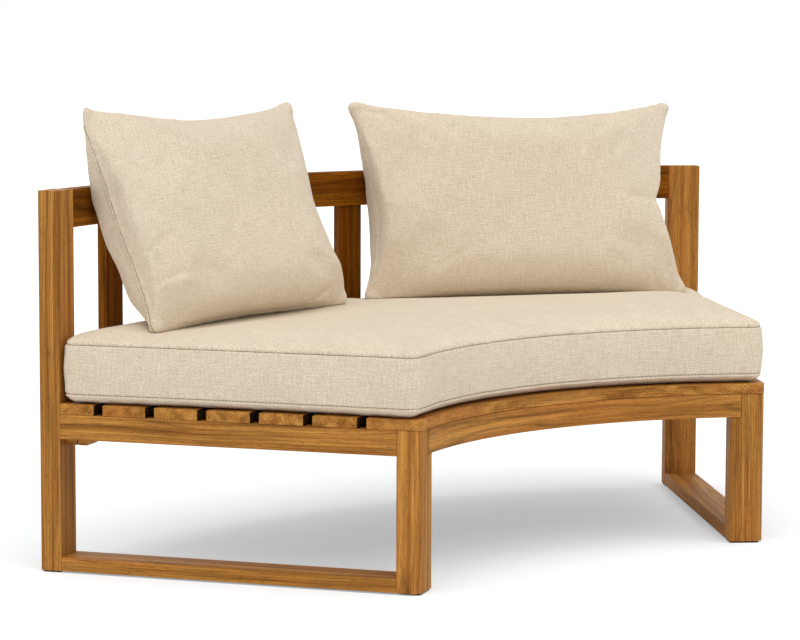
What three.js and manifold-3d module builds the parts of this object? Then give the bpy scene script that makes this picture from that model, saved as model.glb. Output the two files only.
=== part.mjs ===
// Curved bench: one sector of a round outdoor sofa. Two timber end frames stand on the ends of an
// arc, joined by curved rails, with arc slats for the seat, a boxed seat cushion and two loose pillows.
// Millimetres, +Z up. Plan shapes are drawn about the centre of the arcs: an angle is measured from +Y
// towards +X, and the last lines move the whole bench so that its origin is below its middle.
import * as THREE from 'three';
import { mergeVertices } from 'three/addons/utils/BufferGeometryUtils.js';
import Module from 'manifold-3d';

const wasm = await Module();
wasm.setup();

// Plan
const INNER_RADIUS = 780; // centre of the arcs to the front of the legs
const SEAT_DEPTH = 728; // front of the legs to the back of the posts
const SECTOR_ANGLE = THREE.MathUtils.degToRad(67); // between the two end planes
const HALF_ANGLE = SECTOR_ANGLE / 2;
const OUTER_RADIUS = INNER_RADIUS + SEAT_DEPTH;

// Heights from the floor
const BACK_HEIGHT = 700; // tops of the posts and of the top rail
const PLATFORM_HEIGHT = 292.5; // tops of the aprons, which carry the slats
const GLIDE_HEIGHT = 3;

// Timber sections
const FRAME_WIDTH = 68; // posts, legs and skids, measured along the arc
const POST_DEPTH = 39; // posts, measured along a radius
const LEG_DEPTH = 44; // legs, measured along a radius
const LEG_ROUNDING = 20; // outer front corner of a leg and of the front board
const SKID_HEIGHT = 26;
const APRON_HEIGHT = 45.5;
const APRON_THICKNESS = 30;
const TOP_RAIL_HEIGHT = 70;
const BACK_RAIL_THICKNESS = 32; // top rail and back apron
const STILE_WIDTH = 55;
const STILE_THICKNESS = 21;
const BEARER_WIDTH = 40;
const BEARER_HEIGHT = 35;
const LEDGER_WIDTH = 36; // battens inside the end aprons
const LEDGER_HEIGHT = 30;
const SLAT_THICKNESS = 20;
const SLAT_GAP = 17;
const FRONT_BOARD_WIDTH = 102;
const FRONT_OVERHANG = 2; // front board past the legs
const BLOCK_LENGTH = 40; // corner blocks, along a radius
const BLOCK_DROP = 14; // back corner blocks, below the aprons
const BLOCK_BEVEL = 24; // length of the slanted end of a back corner block
const KERF_WIDTH = 3; // saw cut across the underside of a back corner block
const GLIDE_INSET = 3; // from the faces of its leg or post

// Seat cushion
const CUSHION_CLEARANCE = 4; // to the top rail and to the end planes
const CUSHION_SET_BACK = 5; // from the front edge of the front board
const CUSHION_BAND_HEIGHT = 92; // between the two seams of the boxed side
const CUSHION_FOOT_HEIGHT = 18; // rounded underside, below the lower seam
const CUSHION_CROWN = 17; // rise of the top panel above the upper seam
const CUSHION_CROWN_REACH = 110; // from the seam to where the top is level
const CUSHION_CORNER = 26; // rounding in plan
const CUSHION_BULGE = 4; // of the boxed side between its seams
const CUSHION_DRAW_IN = 5; // of each side between its corners

// Pillows: the angle is the place along the arc, the turn is away from facing the centre of the arcs,
// and each draw-in is how far an edge curves in between its corners.
const PILLOW_CLEARANCE = 0.6; // to the top rail
const LEFT_PILLOW = {
  width: 553,
  height: 434,
  thickness: 150,
  lean: THREE.MathUtils.degToRad(22),
  angle: THREE.MathUtils.degToRad(-19.2),
  turn: THREE.MathUtils.degToRad(-7.4),
  topDrawIn: 30,
  sideDrawIn: 12,
  bottomDrawIn: 8,
  columns: 18,
  rows: 16,
};
const RIGHT_PILLOW = {
  width: 727,
  height: 408,
  thickness: 140,
  lean: THREE.MathUtils.degToRad(13.7),
  angle: THREE.MathUtils.degToRad(15.8),
  turn: THREE.MathUtils.degToRad(-1),
  topDrawIn: 32,
  sideDrawIn: 32,
  bottomDrawIn: 6,
  columns: 24,
  rows: 14,
};

// Fixings and fits
const SCREW_RADIUS = 2.5;
const SCREW_HEAD_RADIUS = 4.5;
const SCREW_HEAD_HEIGHT = 3;
const SCREW_HEAD_LAND = 0.5; // straight rim of the head, above its cone
const JOINT_GAP = 0.3; // glue line round tenons and between parts that touch
const OVERRUN = 5; // cutters past the face that they cut
const TENON_LENGTH_SHARE = 0.5; // of the depth of the member that takes the tenon
const TENON_THICKNESS_SHARE = 1 / 3; // of the tenoned member
const TENON_HEIGHT_SHARE = 0.7; // of the tenoned member
const LAP_SHARE = 0.3; // of the frame's width, taken by the curved rails' lap or tenon
const HOUSING_SHARE = 0.25; // of an apron's thickness, cut away for a bearer
const BACK_SLAT_SHARE = 0.8; // width of the last slat, against a regular slat
const STILE_EDGE_SHARE = 0.735; // of the half angle, from the middle to the first and last stile
const STILE_MIDDLE_SHARE = 0.057; // of the half angle, from the middle to the middle stile
const BEARER_SHARE = 1 / 3; // of the half angle, from the middle to each bearer
const SCREW_HEIGHT_SHARES = { upper: 0.75, lower: 0.25 }; // of the height of an apron
const CUSHION_TOP_CORNER_SHARE = 1 / 8; // of its plan rounding, left on the level part of the top
const CROWN_STEP_SHARES = [0.06, 0.2, 0.45, 0.72, 1]; // of the crown's reach, from the seam in

// Powers that shape the soft pieces: the higher the power, the fuller the piece is near its seam.
const CROWN_POWER = 3;
const PILLOW_SWELL_POWER = 4;
const PILLOW_EDGE_POWER = 0.4;

// Repeats
const SLAT_COUNT = 7; // with the front board
const STILE_COUNT = 7;
const ARC_STEPS = 16; // in half an arc of timber
const ROUNDING_STEPS = 6;
const CUSHION_ARC_STEPS = 14; // in half an arc of the cushion
const CUSHION_END_STEPS = 10;
const CUSHION_ROUNDING_STEPS = 4;
const SEATING_ROUNDS = 8;

// Places worked out from the sizes above
const FRAME_BOTTOM = GLIDE_HEIGHT;
const LEG_BACK = INNER_RADIUS + LEG_DEPTH;
const POST_FRONT = OUTER_RADIUS - POST_DEPTH;
const APRON_BOTTOM = PLATFORM_HEIGHT - APRON_HEIGHT;
const SLAT_TOP = PLATFORM_HEIGHT + SLAT_THICKNESS;
const RAIL_BACK = POST_FRONT + BACK_RAIL_THICKNESS;
const RAIL_MIDDLE = (POST_FRONT + RAIL_BACK) / 2;
const TOP_RAIL_BOTTOM = BACK_HEIGHT - TOP_RAIL_HEIGHT;
const CUSHION_BOTTOM = SLAT_TOP + JOINT_GAP;
const CUSHION_SEAM = CUSHION_BOTTOM + CUSHION_FOOT_HEIGHT + CUSHION_BAND_HEIGHT;
const CUSHION_TOP = CUSHION_SEAM + CUSHION_CROWN;
const CUSHION_FRONT = INNER_RADIUS - FRONT_OVERHANG + CUSHION_SET_BACK;
const CUSHION_BACK = POST_FRONT - CUSHION_CLEARANCE;

const TEAK = { color: '#aa7332', roughness: 0.55, metalness: 0 };
const LINEN = { color: '#dccdaf', roughness: 0.95, metalness: 0 };
const BLACK_PLASTIC = { color: '#1c1a18', roughness: 0.7, metalness: 0 };
const ZINC = { color: '#9a9892', roughness: 0.4, metalness: 0.9 };

const bench = new THREE.Group();

// Solids: closed triangle meshes that can be joined and cut

function toSolid(geometry) {
  const bare = new THREE.BufferGeometry();
  bare.setAttribute('position', geometry.getAttribute('position'));
  bare.setIndex(geometry.getIndex());
  const merged = mergeVertices(bare);
  return new wasm.Manifold(new wasm.Mesh({
    numProp: 3,
    vertProperties: new Float32Array(merged.getAttribute('position').array),
    triVerts: new Uint32Array(merged.getIndex().array),
  }));
}

function toGeometry(solid) {
  const mesh = solid.getMesh();
  const geometry = new THREE.BufferGeometry();
  geometry.setAttribute('position', new THREE.BufferAttribute(mesh.vertProperties, 3));
  geometry.setIndex(new THREE.BufferAttribute(mesh.triVerts, 1));
  return geometry;
}

function cut(solid, cutters) {
  return cutters.reduce((rest, cutter) => rest.subtract(cutter), solid);
}

function join(solid, additions) {
  return additions.reduce((whole, addition) => whole.add(addition), solid);
}

// A mirrored placement turns a mesh inside out, so its triangles are wound the other way round.
function placed(geometry, matrix) {
  const copy = geometry.clone().applyMatrix4(matrix);
  if (matrix.determinant() < 0) {
    const index = copy.getIndex();
    for (let i = 0; i < index.count; i += 3) {
      const first = index.getX(i);
      index.setX(i, index.getX(i + 1));
      index.setX(i + 1, first);
    }
  }
  return copy;
}

function addPiece(name, geometry, finish) {
  const flat = geometry.clone();
  flat.computeVertexNormals();
  const mesh = new THREE.Mesh(flat, new THREE.MeshStandardMaterial(finish));
  mesh.name = name;
  bench.add(mesh);
  return mesh;
}

function boxGeometry([x0, x1], [y0, y1], [z0, z1]) {
  const box = new THREE.BoxGeometry(x1 - x0, y1 - y0, z1 - z0);
  return box.translate((x0 + x1) / 2, (y0 + y1) / 2, (z0 + z1) / 2);
}

function boxSolid(xs, ys, zs) {
  return toSolid(boxGeometry(xs, ys, zs));
}

function widened([low, high], amount) {
  return [low - amount, high + amount];
}

function centred(middle, size) {
  return [middle - size / 2, middle + size / 2];
}

// End frames are drawn once, with x along the radius, y in from the end plane and z up.
function endMatrix(side) {
  const sine = Math.sin(HALF_ANGLE);
  const cosine = Math.cos(HALF_ANGLE);
  return new THREE.Matrix4().set(
    side * sine, -side * cosine, 0, 0,
    cosine, sine, 0, 0,
    0, 0, 1, 0,
    0, 0, 0, 1,
  );
}

function addEndPair(name, geometry, finish) {
  for (const [label, side] of [['left', -1], ['right', 1]]) {
    addPiece(`${label}_${name}`, placed(geometry, endMatrix(side)), finish);
  }
}

function endTenons(spans) {
  return [-1, 1].map((side) => toSolid(placed(boxGeometry(...spans), endMatrix(side))));
}

// Plan outline of a sector, drawn from the middle of its back arc round the right end to the middle of
// its front arc, and then mirrored. The steps are those in half an arc, in a corner and along an end.
function sectorOutline(plan, { arcs = ARC_STEPS, corners = ROUNDING_STEPS, ends = 1 } = {}) {
  const { inner, outer, endInset = 0, frontRounding = 0, backRounding = 0, drawIn = 0 } = plan;
  const endNormal = HALF_ANGLE + Math.PI / 2;
  const corner = (radius, inset) => {
    const angle = HALF_ANGLE - Math.asin(inset / radius);
    return { angle, x: radius * Math.sin(angle), y: radius * Math.cos(angle) };
  };
  const back = corner(outer - backRounding, endInset + backRounding);
  const front = corner(inner + frontRounding, endInset + frontRounding);
  const onCircle = (centre, radius, angle) => new THREE.Vector2(
    centre.x + radius * Math.sin(angle), centre.y + radius * Math.cos(angle));
  const drawnIn = (share) => drawIn * (1 - share * share);
  const centre = { x: 0, y: 0 };
  const right = [];
  for (let i = 0; i <= arcs; i += 1) {
    right.push(onCircle(centre, outer - drawnIn(i / arcs), back.angle * i / arcs));
  }
  if (backRounding > 0) {
    for (let i = 1; i <= corners; i += 1) {
      const angle = THREE.MathUtils.lerp(back.angle, endNormal, i / corners);
      right.push(onCircle(back, backRounding, angle));
    }
  }
  const endStart = right.at(-1);
  const endStop = onCircle(front, frontRounding, endNormal);
  for (let i = 1; i < ends; i += 1) {
    const along = endStart.clone().lerp(endStop, i / ends);
    right.push(onCircle(along, -drawnIn(2 * i / ends - 1), endNormal));
  }
  if (frontRounding > 0) {
    for (let i = 0; i < corners; i += 1) {
      const angle = THREE.MathUtils.lerp(endNormal, front.angle + Math.PI, i / corners);
      right.push(onCircle(front, frontRounding, angle));
    }
  }
  for (let i = arcs; i >= 0; i -= 1) {
    right.push(onCircle(centre, inner + drawnIn(i / arcs), front.angle * i / arcs));
  }
  const left = right.slice(1, -1).map((point) => new THREE.Vector2(-point.x, point.y));
  return [...left, right.at(-1), ...right.slice(1, -1).reverse(), right[0]];
}

function sectorGeometry(plan, [z0, z1]) {
  const shape = new THREE.Shape(sectorOutline(plan));
  const geometry = new THREE.ExtrudeGeometry(shape, { depth: z1 - z0, bevelEnabled: false });
  return mergedGeometry(geometry.translate(0, 0, z0));
}

function mergedGeometry(geometry) {
  geometry.deleteAttribute('normal');
  geometry.deleteAttribute('uv');
  return mergeVertices(geometry);
}

// Joints, each as its spans along the radius, in from the end plane and up. The spans give the tenon
// and, with the glue line, its mortise.

function mortise(spans) {
  return boxSolid(...spans.map((span) => widened(span, JOINT_GAP)));
}

const apronMiddle = (APRON_BOTTOM + PLATFORM_HEIGHT) / 2;
const apronTenonHeights = centred(apronMiddle, APRON_HEIGHT * TENON_HEIGHT_SHARE);
const apronTenonAcross = centred(APRON_THICKNESS / 2, APRON_THICKNESS * TENON_THICKNESS_SHARE);
const skidHeights = [FRAME_BOTTOM, FRAME_BOTTOM + SKID_HEIGHT];
const skidMiddle = FRAME_BOTTOM + SKID_HEIGHT / 2;
const skidTenonHeights = centred(skidMiddle, SKID_HEIGHT * TENON_THICKNESS_SHARE);
const skidTenonAcross = centred(FRAME_WIDTH / 2, FRAME_WIDTH * TENON_THICKNESS_SHARE);
const topRailHeights = [TOP_RAIL_BOTTOM, BACK_HEIGHT];
const topRailMiddle = (TOP_RAIL_BOTTOM + BACK_HEIGHT) / 2;
const topRailTenonHeights = centred(topRailMiddle, TOP_RAIL_HEIGHT * TENON_HEIGHT_SHARE);
const railTenonAlong = centred(RAIL_MIDDLE, BACK_RAIL_THICKNESS * TENON_THICKNESS_SHARE);
const railTenonInner = [FRAME_WIDTH * (1 - LAP_SHARE), FRAME_WIDTH + OVERRUN];
const legTenonAlong = [LEG_BACK - LEG_DEPTH * TENON_LENGTH_SHARE, LEG_BACK + OVERRUN];
const postTenonAlong = [POST_FRONT - OVERRUN, POST_FRONT + POST_DEPTH * TENON_LENGTH_SHARE];

const JOINTS = {
  apronInLeg: [legTenonAlong, apronTenonAcross, apronTenonHeights],
  apronInPost: [postTenonAlong, apronTenonAcross, apronTenonHeights],
  skidInLeg: [legTenonAlong, skidTenonAcross, skidTenonHeights],
  skidInPost: [postTenonAlong, skidTenonAcross, skidTenonHeights],
  topRailInPost: [railTenonAlong, railTenonInner, topRailTenonHeights],
  backApronInPost: [railTenonAlong, railTenonInner, apronTenonHeights],
};

// Corner blocks: one screw goes into the end apron and one into the post or leg.
const BLOCK_ACROSS = [APRON_THICKNESS + JOINT_GAP, FRAME_WIDTH];
const BLOCK_ALONG = {
  front: [LEG_BACK + JOINT_GAP, LEG_BACK + JOINT_GAP + BLOCK_LENGTH],
  back: [POST_FRONT - JOINT_GAP - BLOCK_LENGTH, POST_FRONT - JOINT_GAP],
};
const BLOCK_SCREWS = ['front', 'back'].flatMap((end) => {
  const [low, high] = BLOCK_ALONG[end];
  const [outer, inner] = BLOCK_ACROSS;
  const beforeLap = (outer + FRAME_WIDTH * (1 - LAP_SHARE)) / 2;
  const upper = APRON_BOTTOM + APRON_HEIGHT * SCREW_HEIGHT_SHARES.upper;
  const lower = APRON_BOTTOM + APRON_HEIGHT * SCREW_HEIGHT_SHARES.lower;
  const intoApron = {
    name: `${end}_block_apron_screw`,
    end,
    head: [(low + high) / 2, inner, upper],
    axis: [0, -1, 0],
    reach: inner - APRON_THICKNESS * TENON_LENGTH_SHARE,
  };
  const intoFrame = {
    name: `${end}_block_frame_screw`,
    end,
    head: [end === 'front' ? high : low, beforeLap, lower],
    axis: [end === 'front' ? -1 : 1, 0, 0],
    reach: BLOCK_LENGTH + POST_DEPTH * TENON_LENGTH_SHARE,
  };
  return [intoApron, intoFrame];
});

// A countersunk screw drawn along its axis, with its head flush at the start. With a gap it is the
// cutter for the screw's hole.
function screwGeometry({ head, axis, reach }, gap) {
  const start = gap > 0 ? -OVERRUN : 0;
  const profile = [
    [0, start],
    [SCREW_HEAD_RADIUS + gap, start],
    [SCREW_HEAD_RADIUS + gap, SCREW_HEAD_LAND],
    [SCREW_RADIUS + gap, SCREW_HEAD_HEIGHT],
    [SCREW_RADIUS + gap, reach - SCREW_HEAD_HEIGHT],
    [0, reach + gap],
  ].map(([x, y]) => new THREE.Vector2(x, y));
  const lathe = mergedGeometry(new THREE.LatheGeometry(profile, 2 * ROUNDING_STEPS));
  const along = new THREE.Vector3(...axis);
  const spin = new THREE.Quaternion().setFromUnitVectors(new THREE.Vector3(0, 1, 0), along);
  return lathe.applyQuaternion(spin).translate(...head);
}

function screwHoles(end) {
  return BLOCK_SCREWS.filter((screw) => screw.end === end)
    .map((screw) => toSolid(screwGeometry(screw, JOINT_GAP)));
}

// End frames

function legPlan() {
  const shape = new THREE.Shape();
  shape.moveTo(LEG_BACK, 0);
  shape.lineTo(LEG_BACK, FRAME_WIDTH);
  shape.lineTo(INNER_RADIUS, FRAME_WIDTH);
  shape.lineTo(INNER_RADIUS, LEG_ROUNDING);
  shape.absarc(INNER_RADIUS + LEG_ROUNDING, LEG_ROUNDING, LEG_ROUNDING, Math.PI, 1.5 * Math.PI, false);
  shape.closePath();
  return shape;
}

function makeLegs() {
  const height = PLATFORM_HEIGHT - FRAME_BOTTOM;
  const bar = new THREE.ExtrudeGeometry(legPlan(), {
    depth: height, bevelEnabled: false, curveSegments: ROUNDING_STEPS });
  const lap = boxSolid(
    [INNER_RADIUS - OVERRUN, INNER_RADIUS + APRON_THICKNESS + JOINT_GAP],
    [FRAME_WIDTH * (1 - LAP_SHARE), FRAME_WIDTH + OVERRUN],
    [APRON_BOTTOM - JOINT_GAP, PLATFORM_HEIGHT + OVERRUN],
  );
  const leg = cut(toSolid(mergedGeometry(bar.translate(0, 0, FRAME_BOTTOM))),
    [lap, mortise(JOINTS.apronInLeg), mortise(JOINTS.skidInLeg), ...screwHoles('front')]);
  addEndPair('front_leg', toGeometry(leg), TEAK);
}

function makePosts() {
  const bar = boxSolid([POST_FRONT, OUTER_RADIUS], [0, FRAME_WIDTH], [FRAME_BOTTOM, BACK_HEIGHT]);
  const post = cut(bar, [
    mortise(JOINTS.apronInPost), mortise(JOINTS.skidInPost),
    mortise(JOINTS.topRailInPost), mortise(JOINTS.backApronInPost), ...screwHoles('back'),
  ]);
  addEndPair('back_post', toGeometry(post), TEAK);
}

function makeSkids() {
  const bar = boxSolid([LEG_BACK + JOINT_GAP, POST_FRONT - JOINT_GAP], [0, FRAME_WIDTH], skidHeights);
  const skid = join(bar, [boxSolid(...JOINTS.skidInLeg), boxSolid(...JOINTS.skidInPost)]);
  addEndPair('skid', toGeometry(skid), TEAK);
}

function makeEndAprons() {
  const bar = boxSolid([LEG_BACK + JOINT_GAP, POST_FRONT - JOINT_GAP], [0, APRON_THICKNESS],
    [APRON_BOTTOM, PLATFORM_HEIGHT]);
  const apron = join(bar, [boxSolid(...JOINTS.apronInLeg), boxSolid(...JOINTS.apronInPost)]);
  addEndPair('end_apron', toGeometry(cut(apron, [...screwHoles('front'), ...screwHoles('back')])), TEAK);
}

// A front glide starts further in, clear of the leg's rounded corner.
function makeGlides() {
  const heights = [0, GLIDE_HEIGHT - JOINT_GAP];
  const ends = [
    { name: 'front_glide', along: [INNER_RADIUS, LEG_BACK], start: LEG_ROUNDING / 2 },
    { name: 'back_glide', along: [POST_FRONT, OUTER_RADIUS], start: GLIDE_INSET },
  ];
  for (const { name, along, start } of ends) {
    const across = [start, FRAME_WIDTH - GLIDE_INSET];
    const pad = boxGeometry(widened(along, -GLIDE_INSET), across, heights);
    addEndPair(name, mergedGeometry(pad), BLACK_PLASTIC);
  }
}

function makeCornerBlocks() {
  const low = APRON_BOTTOM - BLOCK_DROP;
  const top = PLATFORM_HEIGHT - JOINT_GAP;
  const front = cut(boxSolid(BLOCK_ALONG.front, BLOCK_ACROSS, [APRON_BOTTOM, top]), screwHoles('front'));
  addEndPair('front_corner_block', toGeometry(front), TEAK);

  const [start, stop] = BLOCK_ALONG.back;
  const side = new THREE.Shape([
    [start - BLOCK_BEVEL, top],
    [start - BLOCK_BEVEL, APRON_BOTTOM],
    [start, low],
    [stop, low],
    [stop, top],
  ].map(([x, y]) => new THREE.Vector2(x, y)));
  const depth = BLOCK_ACROSS[1] - BLOCK_ACROSS[0];
  const blank = new THREE.ExtrudeGeometry(side, { depth, bevelEnabled: false });
  blank.rotateX(Math.PI / 2).translate(0, BLOCK_ACROSS[1], 0);
  const kerf = boxSolid(centred((start + stop) / 2, KERF_WIDTH), widened(BLOCK_ACROSS, OVERRUN),
    [low - OVERRUN, APRON_BOTTOM]);
  const back = cut(toSolid(mergedGeometry(blank)), [kerf, ...screwHoles('back')]);
  addEndPair('back_corner_block', toGeometry(back), TEAK);
}

// A ledger is a batten on the inside of each end apron, between the corner blocks, which carries the
// ends of the slats.
function makeLedgers() {
  const along = [BLOCK_ALONG.front[1] + JOINT_GAP, BLOCK_ALONG.back[0] - BLOCK_BEVEL - JOINT_GAP];
  const across = [APRON_THICKNESS + JOINT_GAP, APRON_THICKNESS + JOINT_GAP + LEDGER_WIDTH];
  const bar = boxGeometry(along, across, [PLATFORM_HEIGHT - LEDGER_HEIGHT, PLATFORM_HEIGHT]);
  addEndPair('slat_ledger', mergedGeometry(bar), TEAK);
}

function makeScrews() {
  for (const screw of BLOCK_SCREWS) {
    addEndPair(screw.name, screwGeometry(screw, 0), ZINC);
  }
}

// Curved rails, stiles and bearers

const STILE_TENON = {
  width: STILE_WIDTH * TENON_HEIGHT_SHARE,
  thickness: STILE_THICKNESS * TENON_THICKNESS_SHARE,
  upper: TOP_RAIL_HEIGHT * TENON_THICKNESS_SHARE,
  lower: APRON_HEIGHT * TENON_THICKNESS_SHARE,
};

// The middle stile stands a little to the right, and the others are spaced evenly between it and the
// first and last stile.
const STILE_ANGLES = Array.from({ length: STILE_COUNT }, (_, i) => {
  const place = 2 * i / (STILE_COUNT - 1) - 1;
  const shift = STILE_MIDDLE_SHARE * (1 - Math.abs(place));
  return HALF_ANGLE * (STILE_EDGE_SHARE * place + shift);
});
const BEARER_ANGLES = [-HALF_ANGLE * BEARER_SHARE, HALF_ANGLE * BEARER_SHARE];
const BEARER_ALONG = [
  INNER_RADIUS + APRON_THICKNESS * (1 - HOUSING_SHARE),
  POST_FRONT + APRON_THICKNESS * HOUSING_SHARE,
];

// Turns a piece that is drawn on the +Y axis to its place on the arc
function turned(geometry, angle) {
  return geometry.clone().rotateZ(-angle);
}

function stileGeometry(gap) {
  const { width, thickness, upper, lower } = STILE_TENON;
  const radial = (size) => widened(centred(RAIL_MIDDLE, size), gap);
  const tenons = boxSolid(widened(centred(0, width), gap), radial(thickness),
    widened([PLATFORM_HEIGHT - lower, TOP_RAIL_BOTTOM + upper], gap));
  if (gap > 0) {
    return toGeometry(tenons);
  }
  const bar = boxSolid(centred(0, STILE_WIDTH), radial(STILE_THICKNESS),
    [PLATFORM_HEIGHT + JOINT_GAP, TOP_RAIL_BOTTOM - JOINT_GAP]);
  return toGeometry(join(bar, [tenons]));
}

function bearerGeometry(gap) {
  const across = widened(centred(0, BEARER_WIDTH), gap);
  const top = gap > 0 ? PLATFORM_HEIGHT + OVERRUN : PLATFORM_HEIGHT;
  const heights = [PLATFORM_HEIGHT - BEARER_HEIGHT - gap, top];
  return mergedGeometry(boxGeometry(across, widened(BEARER_ALONG, gap), heights));
}

function makeTopRail() {
  const plan = { inner: POST_FRONT, outer: RAIL_BACK, endInset: FRAME_WIDTH + JOINT_GAP };
  const rail = join(toSolid(sectorGeometry(plan, topRailHeights)), endTenons(JOINTS.topRailInPost));
  const mortises = STILE_ANGLES.map((angle) => toSolid(turned(stileGeometry(JOINT_GAP), angle)));
  addPiece('top_rail', toGeometry(cut(rail, mortises)), TEAK);
}

function makeBackApron() {
  const plan = { inner: POST_FRONT, outer: RAIL_BACK, endInset: FRAME_WIDTH + JOINT_GAP };
  const heights = [APRON_BOTTOM, PLATFORM_HEIGHT];
  const rail = join(toSolid(sectorGeometry(plan, heights)), endTenons(JOINTS.backApronInPost));
  const cutters = [
    ...STILE_ANGLES.map((angle) => toSolid(turned(stileGeometry(JOINT_GAP), angle))),
    ...BEARER_ANGLES.map((angle) => toSolid(turned(bearerGeometry(JOINT_GAP), angle))),
  ];
  addPiece('back_apron', toGeometry(cut(rail, cutters)), TEAK);
}

function makeFrontApron() {
  const plan = {
    inner: INNER_RADIUS, outer: INNER_RADIUS + APRON_THICKNESS,
    endInset: FRAME_WIDTH * (1 - LAP_SHARE) + JOINT_GAP,
  };
  const rail = toSolid(sectorGeometry(plan, [APRON_BOTTOM, PLATFORM_HEIGHT]));
  const cutters = BEARER_ANGLES.map((angle) => toSolid(turned(bearerGeometry(JOINT_GAP), angle)));
  addPiece('front_apron', toGeometry(cut(rail, cutters)), TEAK);
}

function makeStiles() {
  STILE_ANGLES.forEach((angle, i) => {
    addPiece(`back_stile_${i + 1}`, turned(stileGeometry(0), angle), TEAK);
  });
}

function makeBearers() {
  const [left, right] = BEARER_ANGLES.map((angle) => turned(bearerGeometry(0), angle));
  addPiece('left_seat_bearer', left, TEAK);
  addPiece('right_seat_bearer', right, TEAK);
}

// Seat slats: the front board, then the others outwards, the last one narrower

function slatRadii() {
  const start = INNER_RADIUS - FRONT_OVERHANG + FRONT_BOARD_WIDTH;
  const regularCount = SLAT_COUNT - 2;
  const timber = POST_FRONT - JOINT_GAP - start - (SLAT_COUNT - 1) * SLAT_GAP;
  const width = timber / (regularCount + BACK_SLAT_SHARE);
  const radii = [];
  for (let i = 0; i <= regularCount; i += 1) {
    const inner = start + SLAT_GAP + i * (width + SLAT_GAP);
    radii.push([inner, inner + (i < regularCount ? width : width * BACK_SLAT_SHARE)]);
  }
  return radii;
}

function makeSlats() {
  const heights = [PLATFORM_HEIGHT + JOINT_GAP, SLAT_TOP];
  const inner = INNER_RADIUS - FRONT_OVERHANG;
  const board = { inner, outer: inner + FRONT_BOARD_WIDTH, frontRounding: LEG_ROUNDING };
  addPiece('front_board', sectorGeometry(board, heights), TEAK);
  slatRadii().forEach(([low, high], i) => {
    addPiece(`seat_slat_${i + 1}`, sectorGeometry({ inner: low, outer: high }, heights), TEAK);
  });
}

// Seat cushion: rings round the sector, from the flat underside over the boxed side to the crown

const CUSHION_RINGS = [
  [CUSHION_CORNER, 0],
  [CUSHION_FOOT_HEIGHT / 3, CUSHION_FOOT_HEIGHT / 4],
  [0, CUSHION_FOOT_HEIGHT],
  [-CUSHION_BULGE, CUSHION_FOOT_HEIGHT + CUSHION_BAND_HEIGHT / 2],
  [0, CUSHION_FOOT_HEIGHT + CUSHION_BAND_HEIGHT],
];

// Share of the crown's full rise at a distance in from the seam
function crownShare(distance) {
  const rest = 1 - Math.min(distance / CUSHION_CROWN_REACH, 1);
  return 1 - rest ** CROWN_POWER;
}

function cushionRing(inset, rise) {
  const rounding = Math.max(CUSHION_CORNER - inset, CUSHION_CORNER * CUSHION_TOP_CORNER_SHARE);
  const plan = {
    inner: CUSHION_FRONT + inset,
    outer: CUSHION_BACK - inset,
    endInset: CUSHION_CLEARANCE + inset,
    frontRounding: rounding,
    backRounding: rounding,
    drawIn: CUSHION_DRAW_IN,
  };
  const outline = sectorOutline(plan, {
    arcs: CUSHION_ARC_STEPS,
    corners: CUSHION_ROUNDING_STEPS,
    ends: CUSHION_END_STEPS,
  });
  return outline.map((point) => new THREE.Vector3(point.x, point.y, CUSHION_BOTTOM + rise));
}

// A closed skin over a stack of rings that have the same number of points
function ringSolidGeometry(rings) {
  const count = rings[0].length;
  const caps = rings.map((ring) => ring.map((point) => new THREE.Vector2(point.x, point.y)));
  const index = [];
  for (let level = 0; level < rings.length - 1; level += 1) {
    for (let i = 0; i < count; i += 1) {
      const low = level * count + i;
      const next = level * count + (i + 1) % count;
      index.push(low, next, next + count, low, next + count, low + count);
    }
  }
  for (const [a, b, c] of THREE.ShapeUtils.triangulateShape(caps[0], [])) {
    index.push(c, b, a);
  }
  const last = (rings.length - 1) * count;
  for (const [a, b, c] of THREE.ShapeUtils.triangulateShape(caps.at(-1), [])) {
    index.push(last + a, last + b, last + c);
  }
  const geometry = new THREE.BufferGeometry().setFromPoints(rings.flat());
  geometry.setIndex(index);
  return geometry;
}

function makeSeatCushion() {
  const crown = CROWN_STEP_SHARES.map((share) => {
    const inset = share * CUSHION_CROWN_REACH;
    return [inset, CUSHION_SEAM - CUSHION_BOTTOM + CUSHION_CROWN * crownShare(inset)];
  });
  const rings = [...CUSHION_RINGS, ...crown].map(([inset, rise]) => cushionRing(inset, rise));
  addPiece('seat_cushion', ringSolidGeometry(rings), LINEN);
}

// Height of the cushion's top panel below a point
function cushionTopAt(point) {
  const radius = Math.hypot(point.x, point.y);
  const fromEnd = radius * Math.sin(HALF_ANGLE - Math.abs(Math.atan2(point.x, point.y)));
  const distance = Math.min(radius - CUSHION_FRONT, CUSHION_BACK - radius, fromEnd - CUSHION_CLEARANCE);
  return CUSHION_SEAM + CUSHION_CROWN * crownShare(Math.max(distance, 0));
}

// Pillows: two crowned panels that meet at the seam, their sides drawn in between the corners.
// A pillow is drawn upright with x along its width, y through its thickness and z up its height,
// and u and v run from -1 to 1 over its width and its height.

function pillowPoint(pillow, u, v, face) {
  const { width, height, thickness, topDrawIn, sideDrawIn, bottomDrawIn } = pillow;
  const bow = (share) => 1 - share ** 2;
  const swell = (share) => Math.max(1 - share ** PILLOW_SWELL_POWER, 0);
  const endDraw = v > 0 ? topDrawIn : bottomDrawIn;
  const fullness = (swell(u) * swell(v)) ** PILLOW_EDGE_POWER;
  return new THREE.Vector3(
    u * (width / 2 - sideDrawIn * bow(v)),
    face * fullness * thickness / 2,
    (1 + v) * height / 2 - v * endDraw * bow(u) * Math.abs(v),
  );
}

// Steps are closer together near the seam, where the panel turns over.
function pillowShare(i, count) {
  return Math.sin((i / count - 0.5) * Math.PI);
}

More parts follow.
